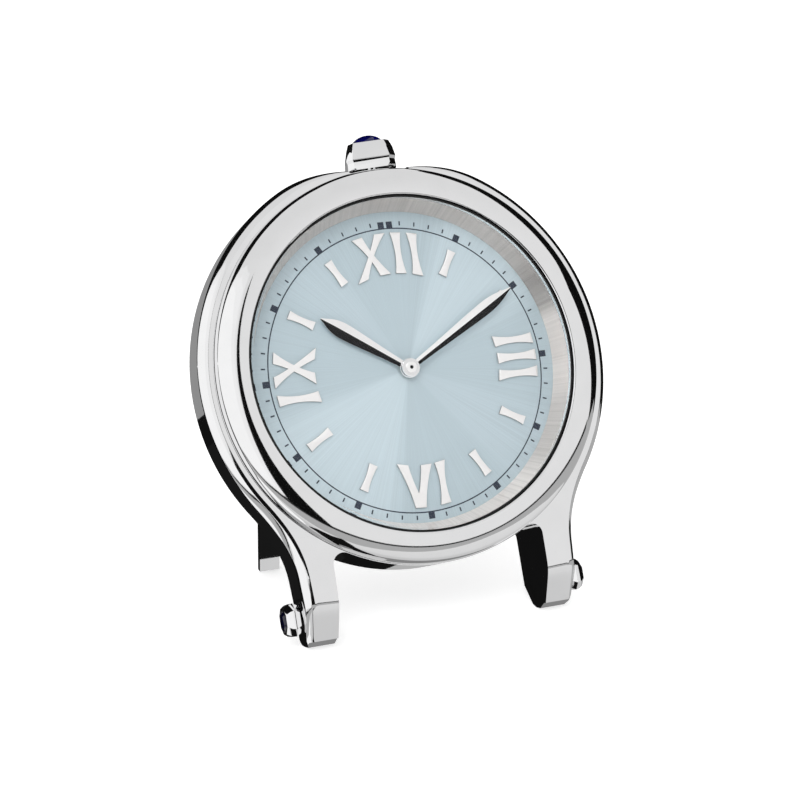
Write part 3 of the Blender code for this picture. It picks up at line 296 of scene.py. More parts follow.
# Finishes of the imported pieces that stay
inner_looks = {
    "brass": ("hour_wheel", "minute_wheel", "main_plate"),
    # The minute arbor's tip gets the painted black shade, for the dark dot in the hub's middle
    "hand_dark": ("minute_arbor",),
    "plastic": ("movement_ring", "motor_module", "back_gasket"),
    "copper": ("coil",),
    "board": ("circuit_board",),
    "satin": ("crown_stem", "stem_clip", "battery", "battery_clip"),
    "steel": ("crown_tube",),
}

# Camera, from the middle of the case in millimetres; lamp and floor in metres
camera_offset = (-109.87679, -283.73340, 95.44456)
camera_right = (0.934127776, -0.356938787, 0)
camera_up = (0.11368378, 0.29751922, 0.94792316)
camera_lens = 76.806
camera_sensor = 36
camera_clip = 0.01
lamp_place = (-0.35, -0.45, 0.75)
lamp_aim = (0, 0, 0.04)
lamp_size = 0.5
lamp_energy = 2.0
floor_reach = 3.0
floor_thickness = 0.01
floor_tones = ((0.3, 0.90), (0.7, 0.91))
floor_glow = 0.5

# Studio: each card's name, tone and outline of (azimuth, elevation) in degrees, cut at even degrees so that it
# bends; the sky's tones by height, and its strength for other rays and for those that see it
card_reach = 4.0
card_step = 0.05
card_cuts = (-180, 271, 5)
# A black flag before the stand's arm, seen only in reflections: painted shade for the stand's arm to mirror
painted_shade_flag_low = (-44 * MM, 6 * MM, -3.5 * MM)
painted_shade_flag_high = (-12 * MM, 6.5 * MM, 30 * MM)
painted_shade_flag_tone = 0.01
sky_strengths = (0.85, 1.0)
sky_tones = ((0, 0.6), (0.2, 0.64), (0.3, 0.74), (0.48, 0.78), (0.52, 0.82), (0.8, 0.82), (0.95, 0.76))
cards = (
    ("wall_grey", 0.29, ((158, 2), (212, -3), (212, -26), (158, -26))),
    ("pale_left", 0.88, ((-150, -28), (-110, -26), (-60, -16), (-30, -2), (-17, 4), (-12, 25), (-9, 40), (-13, 53),
                         (-31, 59), (-49, 60), (-68, 60), (-87, 55), (-103, 50), (-120, 41), (-150, 30))),
    ("paler_left", 0.94, ((-150, -28), (-110, -26), (-60, -16), (-30, -1), (-16, 6), (-14, 30), (-14, 42), (-15, 50),
                          (-31, 56), (-49, 57), (-68, 57), (-87, 52), (-103, 47), (-120, 38), (-150, 30))),
    ("white_left", 1.0, ((-150, -28), (-110, -26), (-60, -16), (-30, 0), (-20, 6), (-20, 30), (-22, 44), (-34, 52),
                         (-49, 54), (-68, 54), (-87, 49), (-103, 44), (-120, 35), (-150, 28))),
    ("low_white", 1.0, ((-150, -50), (-130, -40), (-95, -38), (-70, -34), (-58, -40), (-62, -50), (-85, -59),
                        (-120, -64), (-150, -62))),
    ("low_dark", 0.25, ((-18, -66), (60, -60), (100, -54), (165, -54), (165, -88), (-18, -88))),
    ("grey_band", 0.44, ((-110, -29), (-85, -27), (-60, -19), (-45, -13), (-30, -4), (-17, 2), (63, 4), (85, 0),
                         (100, -6), (118, -14), (130, -19), (150, -22), (165, -22), (165, -42), (110, -36), (95, -33),
                         (75, -22), (60, -14), (45, -7), (30, -4), (10, -7), (-10, -14), (-30, -20), (-45, -25),
                         (-60, -30), (-85, -36), (-110, -38))),
    ("horizon", 0.04, ((-17, 4), (-2, 3.6), (30, 4.2), (63, 5), (63, 2), (30, 1.8), (-2, 0.8), (-17, 0.2), (-30, -5),
                      (-45, -14), (-60, -20.2), (-85, -28.4), (-110, -30.4), (-110, -27.6), (-85, -25.6),
                      (-60, -17), (-45, -10.6), (-30, -1.8))),
    ("strip", 0.004, ((-17, 2), (-15, 15), (-12, 25), (-9, 36), (-6, 46), (-4, 50), (-2, 45), (-1, 30), (-1, 15),
                      (-2, 2))),
    ("right", 0.004, ((64.5, 3), (64.5, 29), (74, 32), (78, 42), (84, 49), (90, 55), (105, 59), (120, 57), (135, 48),
                      (145, 40), (150, 34), (165, 34), (165, -23), (150, -24), (130, -21), (118, -18), (105, -15),
                      (95, -10), (85, -3))),
    ("behind", 0.004, ((150, -3), (150, 50), (160, 66), (180, 78), (215, 78), (250, 74), (270, 64), (273, 56),
                       (260, 50), (246, 40), (236, 28), (230, 10), (228, -3), (210, -11), (190, -4))),
    ("behind_low", 0.006, ((242, -14), (228, -4), (212, -10), (203, -11), (197, -22), (175, -24), (160, -26),
                           (160, -46), (185, -50), (210, -48), (240, -40), (250, -24))),
    ("low_left", 0.006, ((-7, -12), (-15, -20), (-30, -32), (-45, -45), (-60, -53), (-81, -60), (-120, -66),
                         (-120, -84), (-20, -84), (-12, -62), (-13, -45), (-12, -34), (-9, -25))),
)

# Places that follow
leg_length = frame_radius + leg_reach
leg_top_half = frame_radius - leg_inset
leg_top_drop = leg_length - leg_top_rise
leg_inner_half = leg_top_half - leg_width
leg_toe_half = leg_inner_half + leg_toe_width
crease_drop = leg_length - crease_rise
toe_front_drop = leg_length - toe_front_rise
toe_low_drop = leg_length - toe_low_rise
toe_rear_drop = leg_length - toe_rear_rise
heel_drop = leg_length - heel_rise
knob_drop = leg_length - knob_rise
leg_side_half = leg_top_half - (knob_drop - leg_top_drop) * math.tan(leg_side_slope)
shoulder_radius = frame_radius - shoulder_drop
recess_floor = frame_radius - recess_depth
bezel_radius = frame_radius - bezel_margin
bezel_inner_radius = bezel_radius - bezel_width
bezel_crest_radius = bezel_inner_radius + bezel_crest_width
arch_radius = bezel_radius + arch_lip
frame_seat_radius = bezel_inner_radius + bezel_spigot_wall + fit_gap
ledge_radius = frame_seat_radius - ledge_width
back_radius = frame_radius - rear_bevel_width - back_margin
rear_bore_radius = back_radius - back_flange
screw_circle = back_radius - screw_margin
frame_rear = frame_front - front_bevel_depth - side_wall_height - rear_bevel_depth
dial_radius = frame_seat_radius - dial_overlap
bezel_foot = frame_front + seat_gap
bezel_crest = frame_front + bezel_rise
bezel_lip = bezel_crest - bezel_lip_drop
bezel_spigot_foot = bezel_foot - bezel_spigot_depth
gasket_radius = bezel_inner_radius - fit_gap
gasket_inner_radius = gasket_radius - gasket_wall
crystal_radius = gasket_inner_radius - fit_gap
crystal_front = bezel_lip - crystal_drop
crystal_rear = crystal_front - crystal_thickness
rehaut_radius = bezel_inner_radius - seat_gap
rehaut_foot_radius = bezel_inner_radius - rehaut_foot_width
rehaut_top_radius = bezel_inner_radius - rehaut_top_width
rehaut_front = crystal_rear - seat_gap
mark_outer_radius = rehaut_foot_radius - mark_margin
mark_inner_radius = mark_outer_radius - mark_length
baton_outer_radius = mark_outer_radius - baton_margin
baton_inner_radius = baton_outer_radius - baton_length
minute_hand_length = mark_outer_radius + minute_hand_overlap
hour_hand_length = mark_outer_radius - hour_hand_margin
hour_hand_height = laid_gap + mark_thickness + hand_gap
minute_hand_height = hour_hand_height + hub_thickness + hand_gap
crown_foot = recess_floor + crown_gap
back_front = frame_rear - back_gasket_thickness - 2 * fit_gap
back_rear = back_front - back_thickness
hinge_back = back_rear - stand_back


def clock_frame():
    """The matrix from the clock's frame to the world, from the hands' and the crown's joints."""
    twelve = Vector(joints["crown_pull"]["axis"]).normalized()
    normal = -Vector(joints["minute_spin"]["axis"]).normalized()
    centre = Vector(joints["minute_spin"]["pos_m"]) + twelve * dial_drop
    matrix = Matrix((twelve.cross(normal), twelve, normal)).transposed().to_4x4()
    matrix.translation = centre
    return matrix


CLOCK = clock_frame()
DIAL = CLOCK @ Matrix.Translation((0, -dial_drop, 0))
CROWN = CLOCK @ Matrix.Translation((0, crown_foot, -crown_back)) @ Matrix.Rotation(-QUARTER_TURN, 4, "X")
STAND = CLOCK @ Matrix.Translation((0, stand_rise, hinge_back)) @ Matrix.Rotation(stand_open, 4, "X")
ALONG_X = Matrix.Rotation(QUARTER_TURN, 4, "Y")
SIDE_PROFILE = Matrix(((0, 0, 1, 0), (1, 0, 0, 0), (0, 1, 0, 0), (0, 0, 0, 1)))


def node_tree(name):
    """A new material, its node tree and its main shader."""
    material = bpy.data.materials.new(name)
    material.use_nodes = True
    tree = material.node_tree
    return material, tree, tree.nodes["Principled BSDF"]


def set_inputs(tree, node, inputs):
    """Sets a node's inputs, each to a constant or to the socket that feeds it."""
    for key, value in inputs.items():
        if isinstance(value, bpy.types.NodeSocket):
            tree.links.new(value, node.inputs[key])
        else:
            node.inputs[key].default_value = value


def put(tree, kind, inputs, **settings):
    """A new node with its settings and inputs."""
    node = tree.nodes.new(f"ShaderNode{kind}")
    for key, value in settings.items():
        setattr(node, key, value)
    set_inputs(tree, node, inputs)
    return node


def maths(tree, operation, *values):
    """A maths node on sockets or numbers; returns its output."""
    return put(tree, "Math", dict(enumerate(values)), operation=operation).outputs[0]


def ramp(tree, factor, stops):
    """A colour ramp over a factor, its stops given as (position, grey or colour)."""
    node = put(tree, "ValToRGB", {"Fac": factor})
    elements = node.color_ramp.elements
    while len(elements) < len(stops):
        elements.new(0.5)
    for element, (position, value) in zip(elements, stops):
        element.position = position
        colour = value if isinstance(value, tuple) else (value,) * 3
        element.color = (*colour, 1)
    return node.outputs["Color"]


def varied(tree, factor, colour, low, high):
    """A colour that a factor varies between two shares of itself."""
    stops = ((place, tuple(channel * share for channel in colour)) for place, share in ((0.3, low), (0.7, high)))
    return ramp(tree, factor, list(stops))


def noise(tree, vector, scale, detail=2, roughness=0.5):
    inputs = {"Vector": vector, "Scale": scale, "Detail": detail, "Roughness": roughness}
    return put(tree, "TexNoise", inputs).outputs["Fac"]


def mixed(tree, factor, first, second, blend="MIX"):
    """Two colours mixed by a factor; 6 and 7 are the node's colour inputs and 2 is its colour output."""
    inputs = {"Factor": factor, 6: first, 7: second}
    return put(tree, "Mix", inputs, data_type="RGBA", blend_type=blend).outputs[2]


def spread(tree, factor, low, high):
    """A 0 to 1 factor spread between two values."""
    return put(tree, "MapRange", {"Value": factor, "To Min": low, "To Max": high}).outputs["Result"]


def bump(tree, height, depth, strength):
    """The normal of a surface that a height roughens."""
    return put(tree, "Bump", {"Height": height, "Distance": depth, "Strength": strength}).outputs["Normal"]


def ray_kinds(tree, *kinds):
    """1 for the named kinds of ray, else 0."""
    rays = put(tree, "LightPath", {})
    seen = rays.outputs[kinds[0]]
    for kind in kinds[1:]:
        seen = maths(tree, "MAXIMUM", seen, rays.outputs[kind])
    return seen


def object_place(tree):
    """A point's place in its object's own frame."""
    return put(tree, "TexCoord", {}).outputs["Object"]


def turns_round_axis(tree):
    """The angle round the dial's axis, from twelve o'clock, in turns."""
    place = put(tree, "SeparateXYZ", {0: object_place(tree)}).outputs
    turns = maths(tree, "DIVIDE", maths(tree, "ARCTAN2", place["X"], place["Y"]), FULL_TURN)
    return maths(tree, "FRACT", maths(tree, "ADD", turns, 1))


def distance_from_axis(tree):
    place = put(tree, "SeparateXYZ", {0: object_place(tree)}).outputs
    squares = [maths(tree, "MULTIPLY", place[axis], place[axis]) for axis in ("X", "Y")]
    return maths(tree, "SQRT", maths(tree, "ADD", *squares))


def polished_steel():
    """Mirror-polished steel with the faint haze and hairlines of a handled piece."""
    material, tree, shader = node_tree("polished_steel")
    place = object_place(tree)
    haze = noise(tree, place, scale=220, detail=4)
    hairlines = noise(tree, place, scale=9000)
    waves = noise(tree, place, scale=1800, detail=3)
    set_inputs(tree, shader, {
        "Metallic": 1,
        "Base Color": varied(tree, haze, steel_colour, 0.97, 1),
        "Roughness": spread(tree, hairlines, steel_roughness * 0.7, steel_roughness * 1.3),
        "Normal": bump(tree, waves, depth=0.0004 * MM, strength=0.15),
    })
    return material


def satin_steel():
    """Steel turned on a lathe, with fine rings round the axis."""
    material, tree, shader = node_tree("satin_steel")
    across = put(tree, "CombineXYZ", {"X": distance_from_axis(tree)}).outputs[0]
    rings = noise(tree, across, scale=9000, detail=3)
    set_inputs(tree, shader, {
        "Metallic": 1,
        "Base Color": varied(tree, rings, satin_colour, 0.88, 1),
        "Roughness": spread(tree, rings, 0.22, 0.34),
        "Normal": bump(tree, rings, depth=0.004 * MM, strength=0.5),
    })
    return material


def sunburst(name, sectors, scale, detail, rays, metallic, roughness, depth):
    """A finish that runs from the middle outwards: fine rays over wide sectors of painted sheen and shade."""
    material, tree, shader = node_tree(name)
    turns = turns_round_axis(tree)
    angle = maths(tree, "MULTIPLY", turns, FULL_TURN)
    around = put(tree, "CombineXYZ", {"X": maths(tree, "COSINE", angle), "Y": maths(tree, "SINE", angle)}).outputs[0]
    fine = noise(tree, around, scale, detail, roughness=0.6)
    # Painted sheen and shade: the sectors' tones by angle round the axis
    painted_sheen_ramp = ramp(tree, turns, [(degree / 360, colour) for degree, colour in sectors])
    set_inputs(tree, shader, {
        "Metallic": metallic,
        "Base Color": mixed(tree, 1, painted_sheen_ramp, ramp(tree, fine, rays), blend="MULTIPLY"),
        "Roughness": roughness,
        "Normal": bump(tree, fine, depth, strength=0.3),
    })
    return material


def rehaut_steel():
    """Fine brushing that runs up the slope of the ring, in slightly warm greys, with painted sheen and shade in
    sectors round the ring.
    """
    red, green, blue = rehaut_tint
    sectors = [(degree, (tone * red, tone * green, tone * blue)) for degree, tone in rehaut_painted_sheen]
    return sunburst("rehaut_steel", sectors, scale=60, detail=6, rays=((0.3, 0.86), (0.5, 1.0), (0.7, 1.08)),
                    metallic=0.15, roughness=0.25, depth=0.004 * MM)


def dial_lacquer():
    """Pale blue lacquer over a sunburst, its sheen and shade painted in sectors round the dial."""
    sectors = [(degree, dial_blues[shade]) for degree, shade in dial_painted_sheen]
    return sunburst("dial_lacquer", sectors, scale=90, detail=8, rays=((0.25, 0.92), (0.5, 1.0), (0.75, 1.07)),
                    metallic=0.25, roughness=0.42, depth=0.003 * MM)


def plain(name, colour, metallic, roughness, grain_scale=2500, grain=0.04, depth=0.003 * MM, more=None):
    """A finish of one colour with a fine grain in its tone, gloss and surface."""
    material, tree, shader = node_tree(name)
    texture = noise(tree, object_place(tree), grain_scale, detail=4)
    set_inputs(tree, shader, {
        "Metallic": metallic,
        "Base Color": varied(tree, texture, colour, 1 - grain, 1 + grain),
        "Roughness": spread(tree, texture, roughness * 0.85, roughness * 1.15),
        "Normal": bump(tree, texture, depth, strength=0.3),
        **(more or {}),
    })
    return material


def clear_crystal():
    """Clear glass that lets light and shadow through to the dial."""
    material, tree, shader = node_tree("clear_crystal")
    set_inputs(tree, shader, {
        "Base Color": WHITE,
        "Transmission Weight": 1,
        "IOR": 1.12,
        "Roughness": 0,
        "Specular IOR Level": 0.3,
    })
    through = put(tree, "BsdfTransparent", {}).outputs[0]
    unseen = ray_kinds(tree, "Is Shadow Ray", "Is Diffuse Ray")
    chosen = put(tree, "MixShader", {"Fac": unseen, 1: shader.outputs[0], 2: through}).outputs[0]
    set_inputs(tree, tree.nodes["Material Output"], {"Surface": chosen})
    return material


def make_materials():
    """Every look by its short name."""
    looks = {
        "steel": polished_steel(),
        "satin": satin_steel(),
        "rehaut": rehaut_steel(),
        "dial": dial_lacquer(),
        "crystal": clear_crystal(),
    }
    for look, values in plain_looks.items():
        looks[look] = plain(*values)
    return looks


def evenly(steps):
    """The shares from 0 to 1 in even steps."""
    return [i / steps for i in range(steps + 1)]


def new_object(name, data):
    made = bpy.data.objects.new(name, data)
    bpy.context.scene.collection.objects.link(made)
    return made


def settle(work, name):
    """Welds a bmesh, faces it outwards and makes it an object."""
    bmesh.ops.remove_doubles(work, verts=work.verts, dist=weld_distance)
    bmesh.ops.recalc_face_normals(work, faces=work.faces)
    mesh = bpy.data.meshes.new(name)
    work.to_mesh(mesh)
    work.free()
    return new_object(name, mesh)


def evaluated(source):
    """A bmesh of an object with its modifiers or curve settings applied; the object is removed."""
    bpy.context.view_layer.update()
    graph = bpy.context.evaluated_depsgraph_get()
    mesh = bpy.data.meshes.new_from_object(source.evaluated_get(graph))
    work = bmesh.new()
    work.from_mesh(mesh)
    bpy.data.objects.remove(source)
    return work


def everything(work):
    return work.verts[:] + work.edges[:] + work.faces[:]


def lathed(name, profile, steps=turn_steps):
    """A profile of (radius, height) points turned round Z, down its outer side.

    A profile that doesn't end on the axis closes on itself.
    """
    work = bmesh.new()
    turns = [FULL_TURN * i / steps for i in range(steps)]
    rings = []
    for radius, height in profile:
        around = turns if radius > weld_distance else turns[:1]
        rings.append([work.verts.new((radius * math.cos(t), radius * math.sin(t), height)) for t in around])
    for above, below in zip(rings, rings[1:] + rings[:1]):
        for i in range(steps):
            j = (i + 1) % steps
            corners = [above[i % len(above)], below[i % len(below)], below[j % len(below)], above[j % len(above)]]
            corners = list(dict.fromkeys(corners))
            if len(corners) > 2:
                work.faces.new(corners)
    return settle(work, name)


def rod(name, radius, high, low):
    """A plain small cylinder round Z between two heights."""
    return lathed(name, [(0, high), (radius, high), (radius, low), (0, low)], small_turn_steps)


def rounded(points, steps=rounding_steps):
    """A chain of points whose last value is the length taken off each side of a corner to round it."""
    smooth = []
    for i, (*place, cut_back) in enumerate(points):
        here = Vector(place)
        if not cut_back:
            smooth.append(tuple(here))
            continue
        before = Vector(points[i - 1][:-1]) - here
        after = Vector(points[(i + 1) % len(points)][:-1]) - here
        start = here + before.normalized() * min(cut_back, before.length / 2)
        end = here + after.normalized() * min(cut_back, after.length / 2)
        for t in evenly(steps):
            smooth.append(tuple(start * (1 - t) ** 2 + here * 2 * t * (1 - t) + end * t**2))
    return smooth


def plate(name, loops, top, bottom):
    """Flat outlines, a hole for each one inside another, between two heights."""
    curve = bpy.data.curves.new(name, "CURVE")
    curve.dimensions = "2D"
    curve.fill_mode = "BOTH"
    curve.extrude = (top - bottom) / 2
    for loop in loops:
        spline = curve.splines.new("POLY")
        spline.points.add(len(loop) - 1)
        for point, (x, y) in zip(spline.points, loop):
            point.co = (x, y, 0, 1)
        spline.use_cyclic_u = True
    work = evaluated(new_object(name, curve))
    bmesh.ops.translate(work, verts=work.verts, vec=(0, 0, (top + bottom) / 2))
    return settle(work, name)


def block(name, low, high):
    """A box between two corners."""
    work = bmesh.new()
    bmesh.ops.create_cube(work, size=1)
    low, high = Vector(low), Vector(high)
    scale = Matrix.Diagonal((*(high - low), 1))
    bmesh.ops.transform(work, matrix=Matrix.Translation((low + high) / 2) @ scale, verts=work.verts)
    return settle(work, name)


def lofted(name, sections, cuts=(), reshape=None):
    """A solid through closed sections that have the same number of points, cut along planes and then reshaped."""
    work = bmesh.new()
    rings = [[work.verts.new(point) for point in section] for section in sections]
    count = len(rings[0])
    for above, below in zip(rings, rings[1:]):
        for i in range(count):
            j = (i + 1) % count
            work.faces.new((above[i], above[j], below[j], below[i]))
    work.faces.new(rings[0])
    work.faces.new(rings[-1])
    bmesh.ops.triangulate(work, faces=work.faces[:])
    for place, normal in cuts:
        bmesh.ops.bisect_plane(work, geom=everything(work), dist=weld_distance, plane_co=place, plane_no=normal)
    if reshape is not None:
        for vert in work.verts:
            vert.co = reshape(vert.co)
    bmesh.ops.triangulate(work, faces=[face for face in work.faces if len(face.verts) == 4])
    return settle(work, name)


def placed(thing, matrix):
    """Moves an object's mesh by a matrix."""
    thing.data.transform(matrix)
    return thing


def combined(target, operation, *others):
    """The target after Booleans with other objects, which are used up."""
    for other in others:
        boolean = target.modifiers.new(other.name, "BOOLEAN")
        boolean.operation = operation
        boolean.object = other
        boolean.solver = "EXACT"
    name = target.name
    work = evaluated(target)
    for other in others:
        bpy.data.objects.remove(other)
    return settle(work, name)


def dress(thing, look, slot, body, *nodes, matrix=CLOCK, bevel=0, sharp=crease_angle):
    """Finishes a piece: its edges, shading, material, place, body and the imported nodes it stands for."""
    if bevel:
        rim = thing.modifiers.new("edges", "BEVEL")
        rim.width = bevel
        rim.segments = 2
        rim.limit_method = "ANGLE"
        rim.angle_limit = crease_angle
        name = thing.name
        thing = settle(evaluated(thing), name)
    mesh = thing.data
    mesh.shade_smooth()
    mesh.set_sharp_from_angle(angle=sharp)
    weighted = thing.modifiers.new("even shading", "WEIGHTED_NORMAL")
    weighted.keep_sharp = True
    if not mesh.materials:
        mesh.materials.append(LOOKS[look])
    thing.matrix_world = matrix
    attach(thing, body)
    if nodes:
        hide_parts(*nodes)
    return thing


def arc(centre, radius, start, end, steps):
    angles = [start + (end - start) * share for share in evenly(steps)]
    return [(centre[0] + radius * math.cos(a), centre[1] + radius * math.sin(a)) for a in angles]


def clock_point(radius, angle):
    """A place at an angle from twelve o'clock, clockwise."""
    return (radius * math.sin(angle), radius * math.cos(angle))


def looked_up(table, place):
    """The value at a place in a table of (place, value), along straight lines between its rows."""
    for (low, low_value), (high, high_value) in zip(table, table[1:]):
        if place <= high:
            t = (place - low) / (high - low)
            return low_value + (high_value - low_value) * t
    return table[-1][1]


def outer_half(inset, drop):
    """The frame's outer edge on the right, from the crown's recess to the foot of the leg.

    Each point has the share of the inset that it takes, and how far it falls back from its section.
    """
    reach = shoulder_end - shoulder_start
    points = []
    for share in evenly(curve_steps)[:-1]:
        radius = shoulder_radius + (frame_radius - shoulder_radius) * math.sin(share * QUARTER_TURN)
        inset_share = shoulder_bevel_share + (1 - shoulder_bevel_share) * share
        points.append((*clock_point(radius, shoulder_start + reach * share), inset_share, 0))
    for share in evenly(curve_steps * 4):
        angle = shoulder_end + (flank_angle - shoulder_end) * share
        points.append((*clock_point(frame_radius, angle), 1, 0))
    first = Vector(clock_point(frame_radius, flank_angle))
    along = Vector((math.cos(flank_angle), -math.sin(flank_angle)))
    last = Vector((leg_top_half, -leg_top_drop))
    down = Vector((-math.sin(leg_side_slope), -math.cos(leg_side_slope)))
    pull, pushed = first + along * flank_pull, last - down * flank_return
    for t in evenly(curve_steps)[1:]:
        near = first * (1 - t) ** 3 + pull * 3 * t * (1 - t) ** 2
        far = pushed * 3 * t**2 * (1 - t) + last * t**3
        points.append((*(near + far), 1, drop * t))
    toe = Vector((leg_toe_half, -leg_length))
    side_drop = (leg_length - leg_toe_radius - leg_top_drop) / math.cos(leg_side_slope)
    corner = last + down * side_drop
    for share in evenly(corner_steps):
        turn = QUARTER_TURN * share
        x = toe.x + (corner.x - toe.x) * math.cos(turn)
        y = corner.y + (toe.y - corner.y) * math.sin(turn)
        points.append((x, y, math.cos(turn), drop * math.cos(turn)))
    moved = [(recess_half_width, recess_floor, 0)]
    for i, (x, y, share, fall) in enumerate(points):
        before = Vector(points[max(i - 1, 0)][:2])
        after = Vector(points[min(i + 1, len(points) - 1)][:2])
        way = (after - before).normalized()
        moved.append((x + way.y * inset * share, y - way.x * inset * share, fall))
    return moved


def inner_half():
    """The inside of the right leg and the arch between the legs, from the foot to six o'clock."""
    reach = arch_radius + leg_root_radius
    x = leg_inner_half - leg_root_radius
    y = -math.sqrt(reach**2 - x**2)
    points = [(leg_inner_half, -leg_length)]
    points += arc((x, y), leg_root_radius, 0, math.atan2(-y, -x), corner_steps)
    arch_start = math.atan2(x, y)
    points += [clock_point(arch_radius, arch_start + (math.pi - arch_start) * t) for t in evenly(curve_steps)[1:]]
    return [(x, y, 0) for x, y in points]


def frame_section(height, inset, drop):
    """The frame's whole outline at a height, its edge moved in by an inset and its legs dropped."""
    half = outer_half(inset, drop) + inner_half()
    whole = half + [(-x, y, fall) for x, y, fall in reversed(half[:-1])]
    return [(x, y, height - fall) for x, y, fall in whole]


def bent_toe(point):
    """Leans the front of the legs back below their crease, which is softly rounded."""
    below = -crease_drop - point.y
    below = (below + math.hypot(below, crease_softness)) / 2
    depth_share = (point.z - frame_rear) / (frame_front - frame_rear)
    return Vector((point.x, point.y, point.z - below * math.tan(toe_bend) * depth_share))


def rim_curve(foot):
    """The front edge's rounded rim as (height, inset, drop on the legs, rounding), down to the side wall."""
    top = frame_front - front_slope_depth
    points = []
    for share in evenly(rim_steps):
        turn = rim_start_slope + (QUARTER_TURN - rim_start_slope) * share
        out = (math.sin(turn) - math.sin(rim_start_slope)) / (1 - math.sin(rim_start_slope))
        down = 1 - math.cos(turn) / math.cos(rim_start_slope)
        softness = 0 if share else rim_crease_rounding
        points.append((top + (foot - top) * down, rim_width * (1 - out), leg_bevel_extra * down, softness))
    return points


def side_outline(wide):
    """The frame's outline from the side, with the slanting heels and toes of its legs, as a solid."""
    heel = Vector((-heel_drop, frame_rear))
    past_heel = heel + (heel - Vector((-toe_rear_drop, -toe_rear_back)))
    profile = [
        (wide, overrun * 2),
        (wide, past_heel.y),
        tuple(past_heel),
        (-toe_rear_drop, -toe_rear_back),
        (-toe_low_drop, -toe_low_back),
        (-toe_front_drop, -toe_front_back),
        (-toe_front_drop, overrun * 2),
    ]
    return placed(plate("leg_side_profile", [profile], wide, -wide), SIDE_PROFILE)


def frame_bore():
    """What the movement, the dial and the bezel take out of the frame."""
    ledge_front = -dial_thickness - seat_gap
    return lathed("frame_bore", [
        (0, frame_front + overrun),
        (frame_seat_radius, frame_front + overrun),
        (frame_seat_radius, ledge_front),
        (ledge_radius, ledge_front),
        (ledge_radius, ledge_front - overrun),
        (rear_bore_radius, ledge_front - overrun),
        (rear_bore_radius, frame_rear - overrun),
        (0, frame_rear - overrun),
    ])


def make_frame():
    """The ring and its legs in one piece: a loft from front to rear, trimmed from the side, below and within."""
    wall_foot = frame_front - front_bevel_depth - side_wall_height
    sections = [frame_section(*values) for values in rounded([
        (frame_front, front_bevel_width + edge_rounding * 3, 0, 0),
        (frame_front, front_bevel_width, 0, edge_rounding / 2),
        *rim_curve(rim_height),
        (wall_foot, 0, 0, edge_rounding),
        (frame_rear, rear_bevel_width, 0, edge_rounding),
        (frame_rear, rear_bevel_width + edge_rounding * 3, 0, 0),
    ])]
    creases = [((0, -crease_drop + crease_softness * step, 0), (0, 1, 0)) for step in crease_steps]
    body = lofted("case_frame_body", sections, creases, bent_toe)
    wide = frame_radius + overrun
    body = combined(body, "INTERSECT", side_outline(wide))
    floor = placed(block("floor_cutter", (-wide, -wide, -wide), (wide, wide, 0)), CLOCK.inverted())
    body = combined(body, "DIFFERENCE", floor, frame_bore())
    dress(body, "steel", "polished_steel", "case", "case_frame", sharp=rim_crease_angle)


def bezel_dome():
    """The dome's profile from its crest outwards, followed down its slope."""
    reach = bezel_radius - bezel_crest_radius
    fine = [(bezel_crest_radius, bezel_crest)]
    for i in range(dome_steps):
        slope = math.radians(looked_up(bezel_slopes, (i + 0.5) / dome_steps))
        fall = math.tan(slope) * reach / dome_steps
        fine.append((fine[-1][0] + reach / dome_steps, fine[-1][1] - fall))
    points = [fine[0]]
    for point in fine:
        if math.dist(point, points[-1]) >= bezel_width / dome_points:
            points.append(point)
    return points


def make_bezel():
    foot = [
        (bezel_radius, bezel_foot, fit_gap / 2),
        (frame_seat_radius - fit_gap, bezel_foot, 0),
        (frame_seat_radius - fit_gap, bezel_spigot_foot, 0),
        (bezel_inner_radius, bezel_spigot_foot, 0),
        (bezel_inner_radius, bezel_lip, bezel_lip_rounding),
    ]
    dome = [(*point, 0) for point in bezel_dome()]
    dress(lathed("bezel_ring", rounded(foot + dome)), "steel", "polished_steel", "case", "bezel")


def make_crystal():
    edge = crystal_edge_bevel
    profile = [(0, crystal_front), (crystal_radius - edge, crystal_front), (crystal_radius, crystal_front - edge),
               (crystal_radius, crystal_rear), (0, crystal_rear)]
    dress(lathed("crystal_disc", profile), "crystal", "clear_crystal", "case", "crystal")
    gasket = rounded([
        (gasket_inner_radius, crystal_front - edge, edge / 2),
        (gasket_radius, crystal_front - edge, edge / 2),
        (gasket_radius, crystal_rear, edge / 2),
        (gasket_inner_radius, crystal_rear, edge / 2),
    ])
    dress(lathed("crystal_seal", gasket), "gasket", "dark_gasket", "case", "crystal_gasket")


def make_rehaut():
    profile = rounded([
        (rehaut_top_radius, rehaut_front, laid_gap),
        (rehaut_radius, rehaut_front, laid_gap),
        (rehaut_radius, laid_gap, 0),
        (rehaut_foot_radius, laid_gap, 0),
    ])
    dress(lathed("rehaut_slope", profile), "rehaut", "satin_steel", "case", "rehaut_ring")


def make_dial():
    profile = [(dial_hole_radius, 0), (dial_radius, 0), (dial_radius, -dial_thickness),
               (dial_hole_radius, -dial_thickness)]
    dress(lathed("dial_disc", profile), "dial", "ice_blue_dial", "case", "dial", matrix=DIAL)


def bar(inner, outer, width, angle, offset=0):
    """The corners of a printed bar that points at the dial's middle."""
    half = width / 2
    corners = [(offset - half, inner), (offset + half, inner), (offset + half, outer), (offset - half, outer)]
    turn = Matrix.Rotation(-angle, 2)
    return [tuple(turn @ Vector(corner)) for corner in corners]


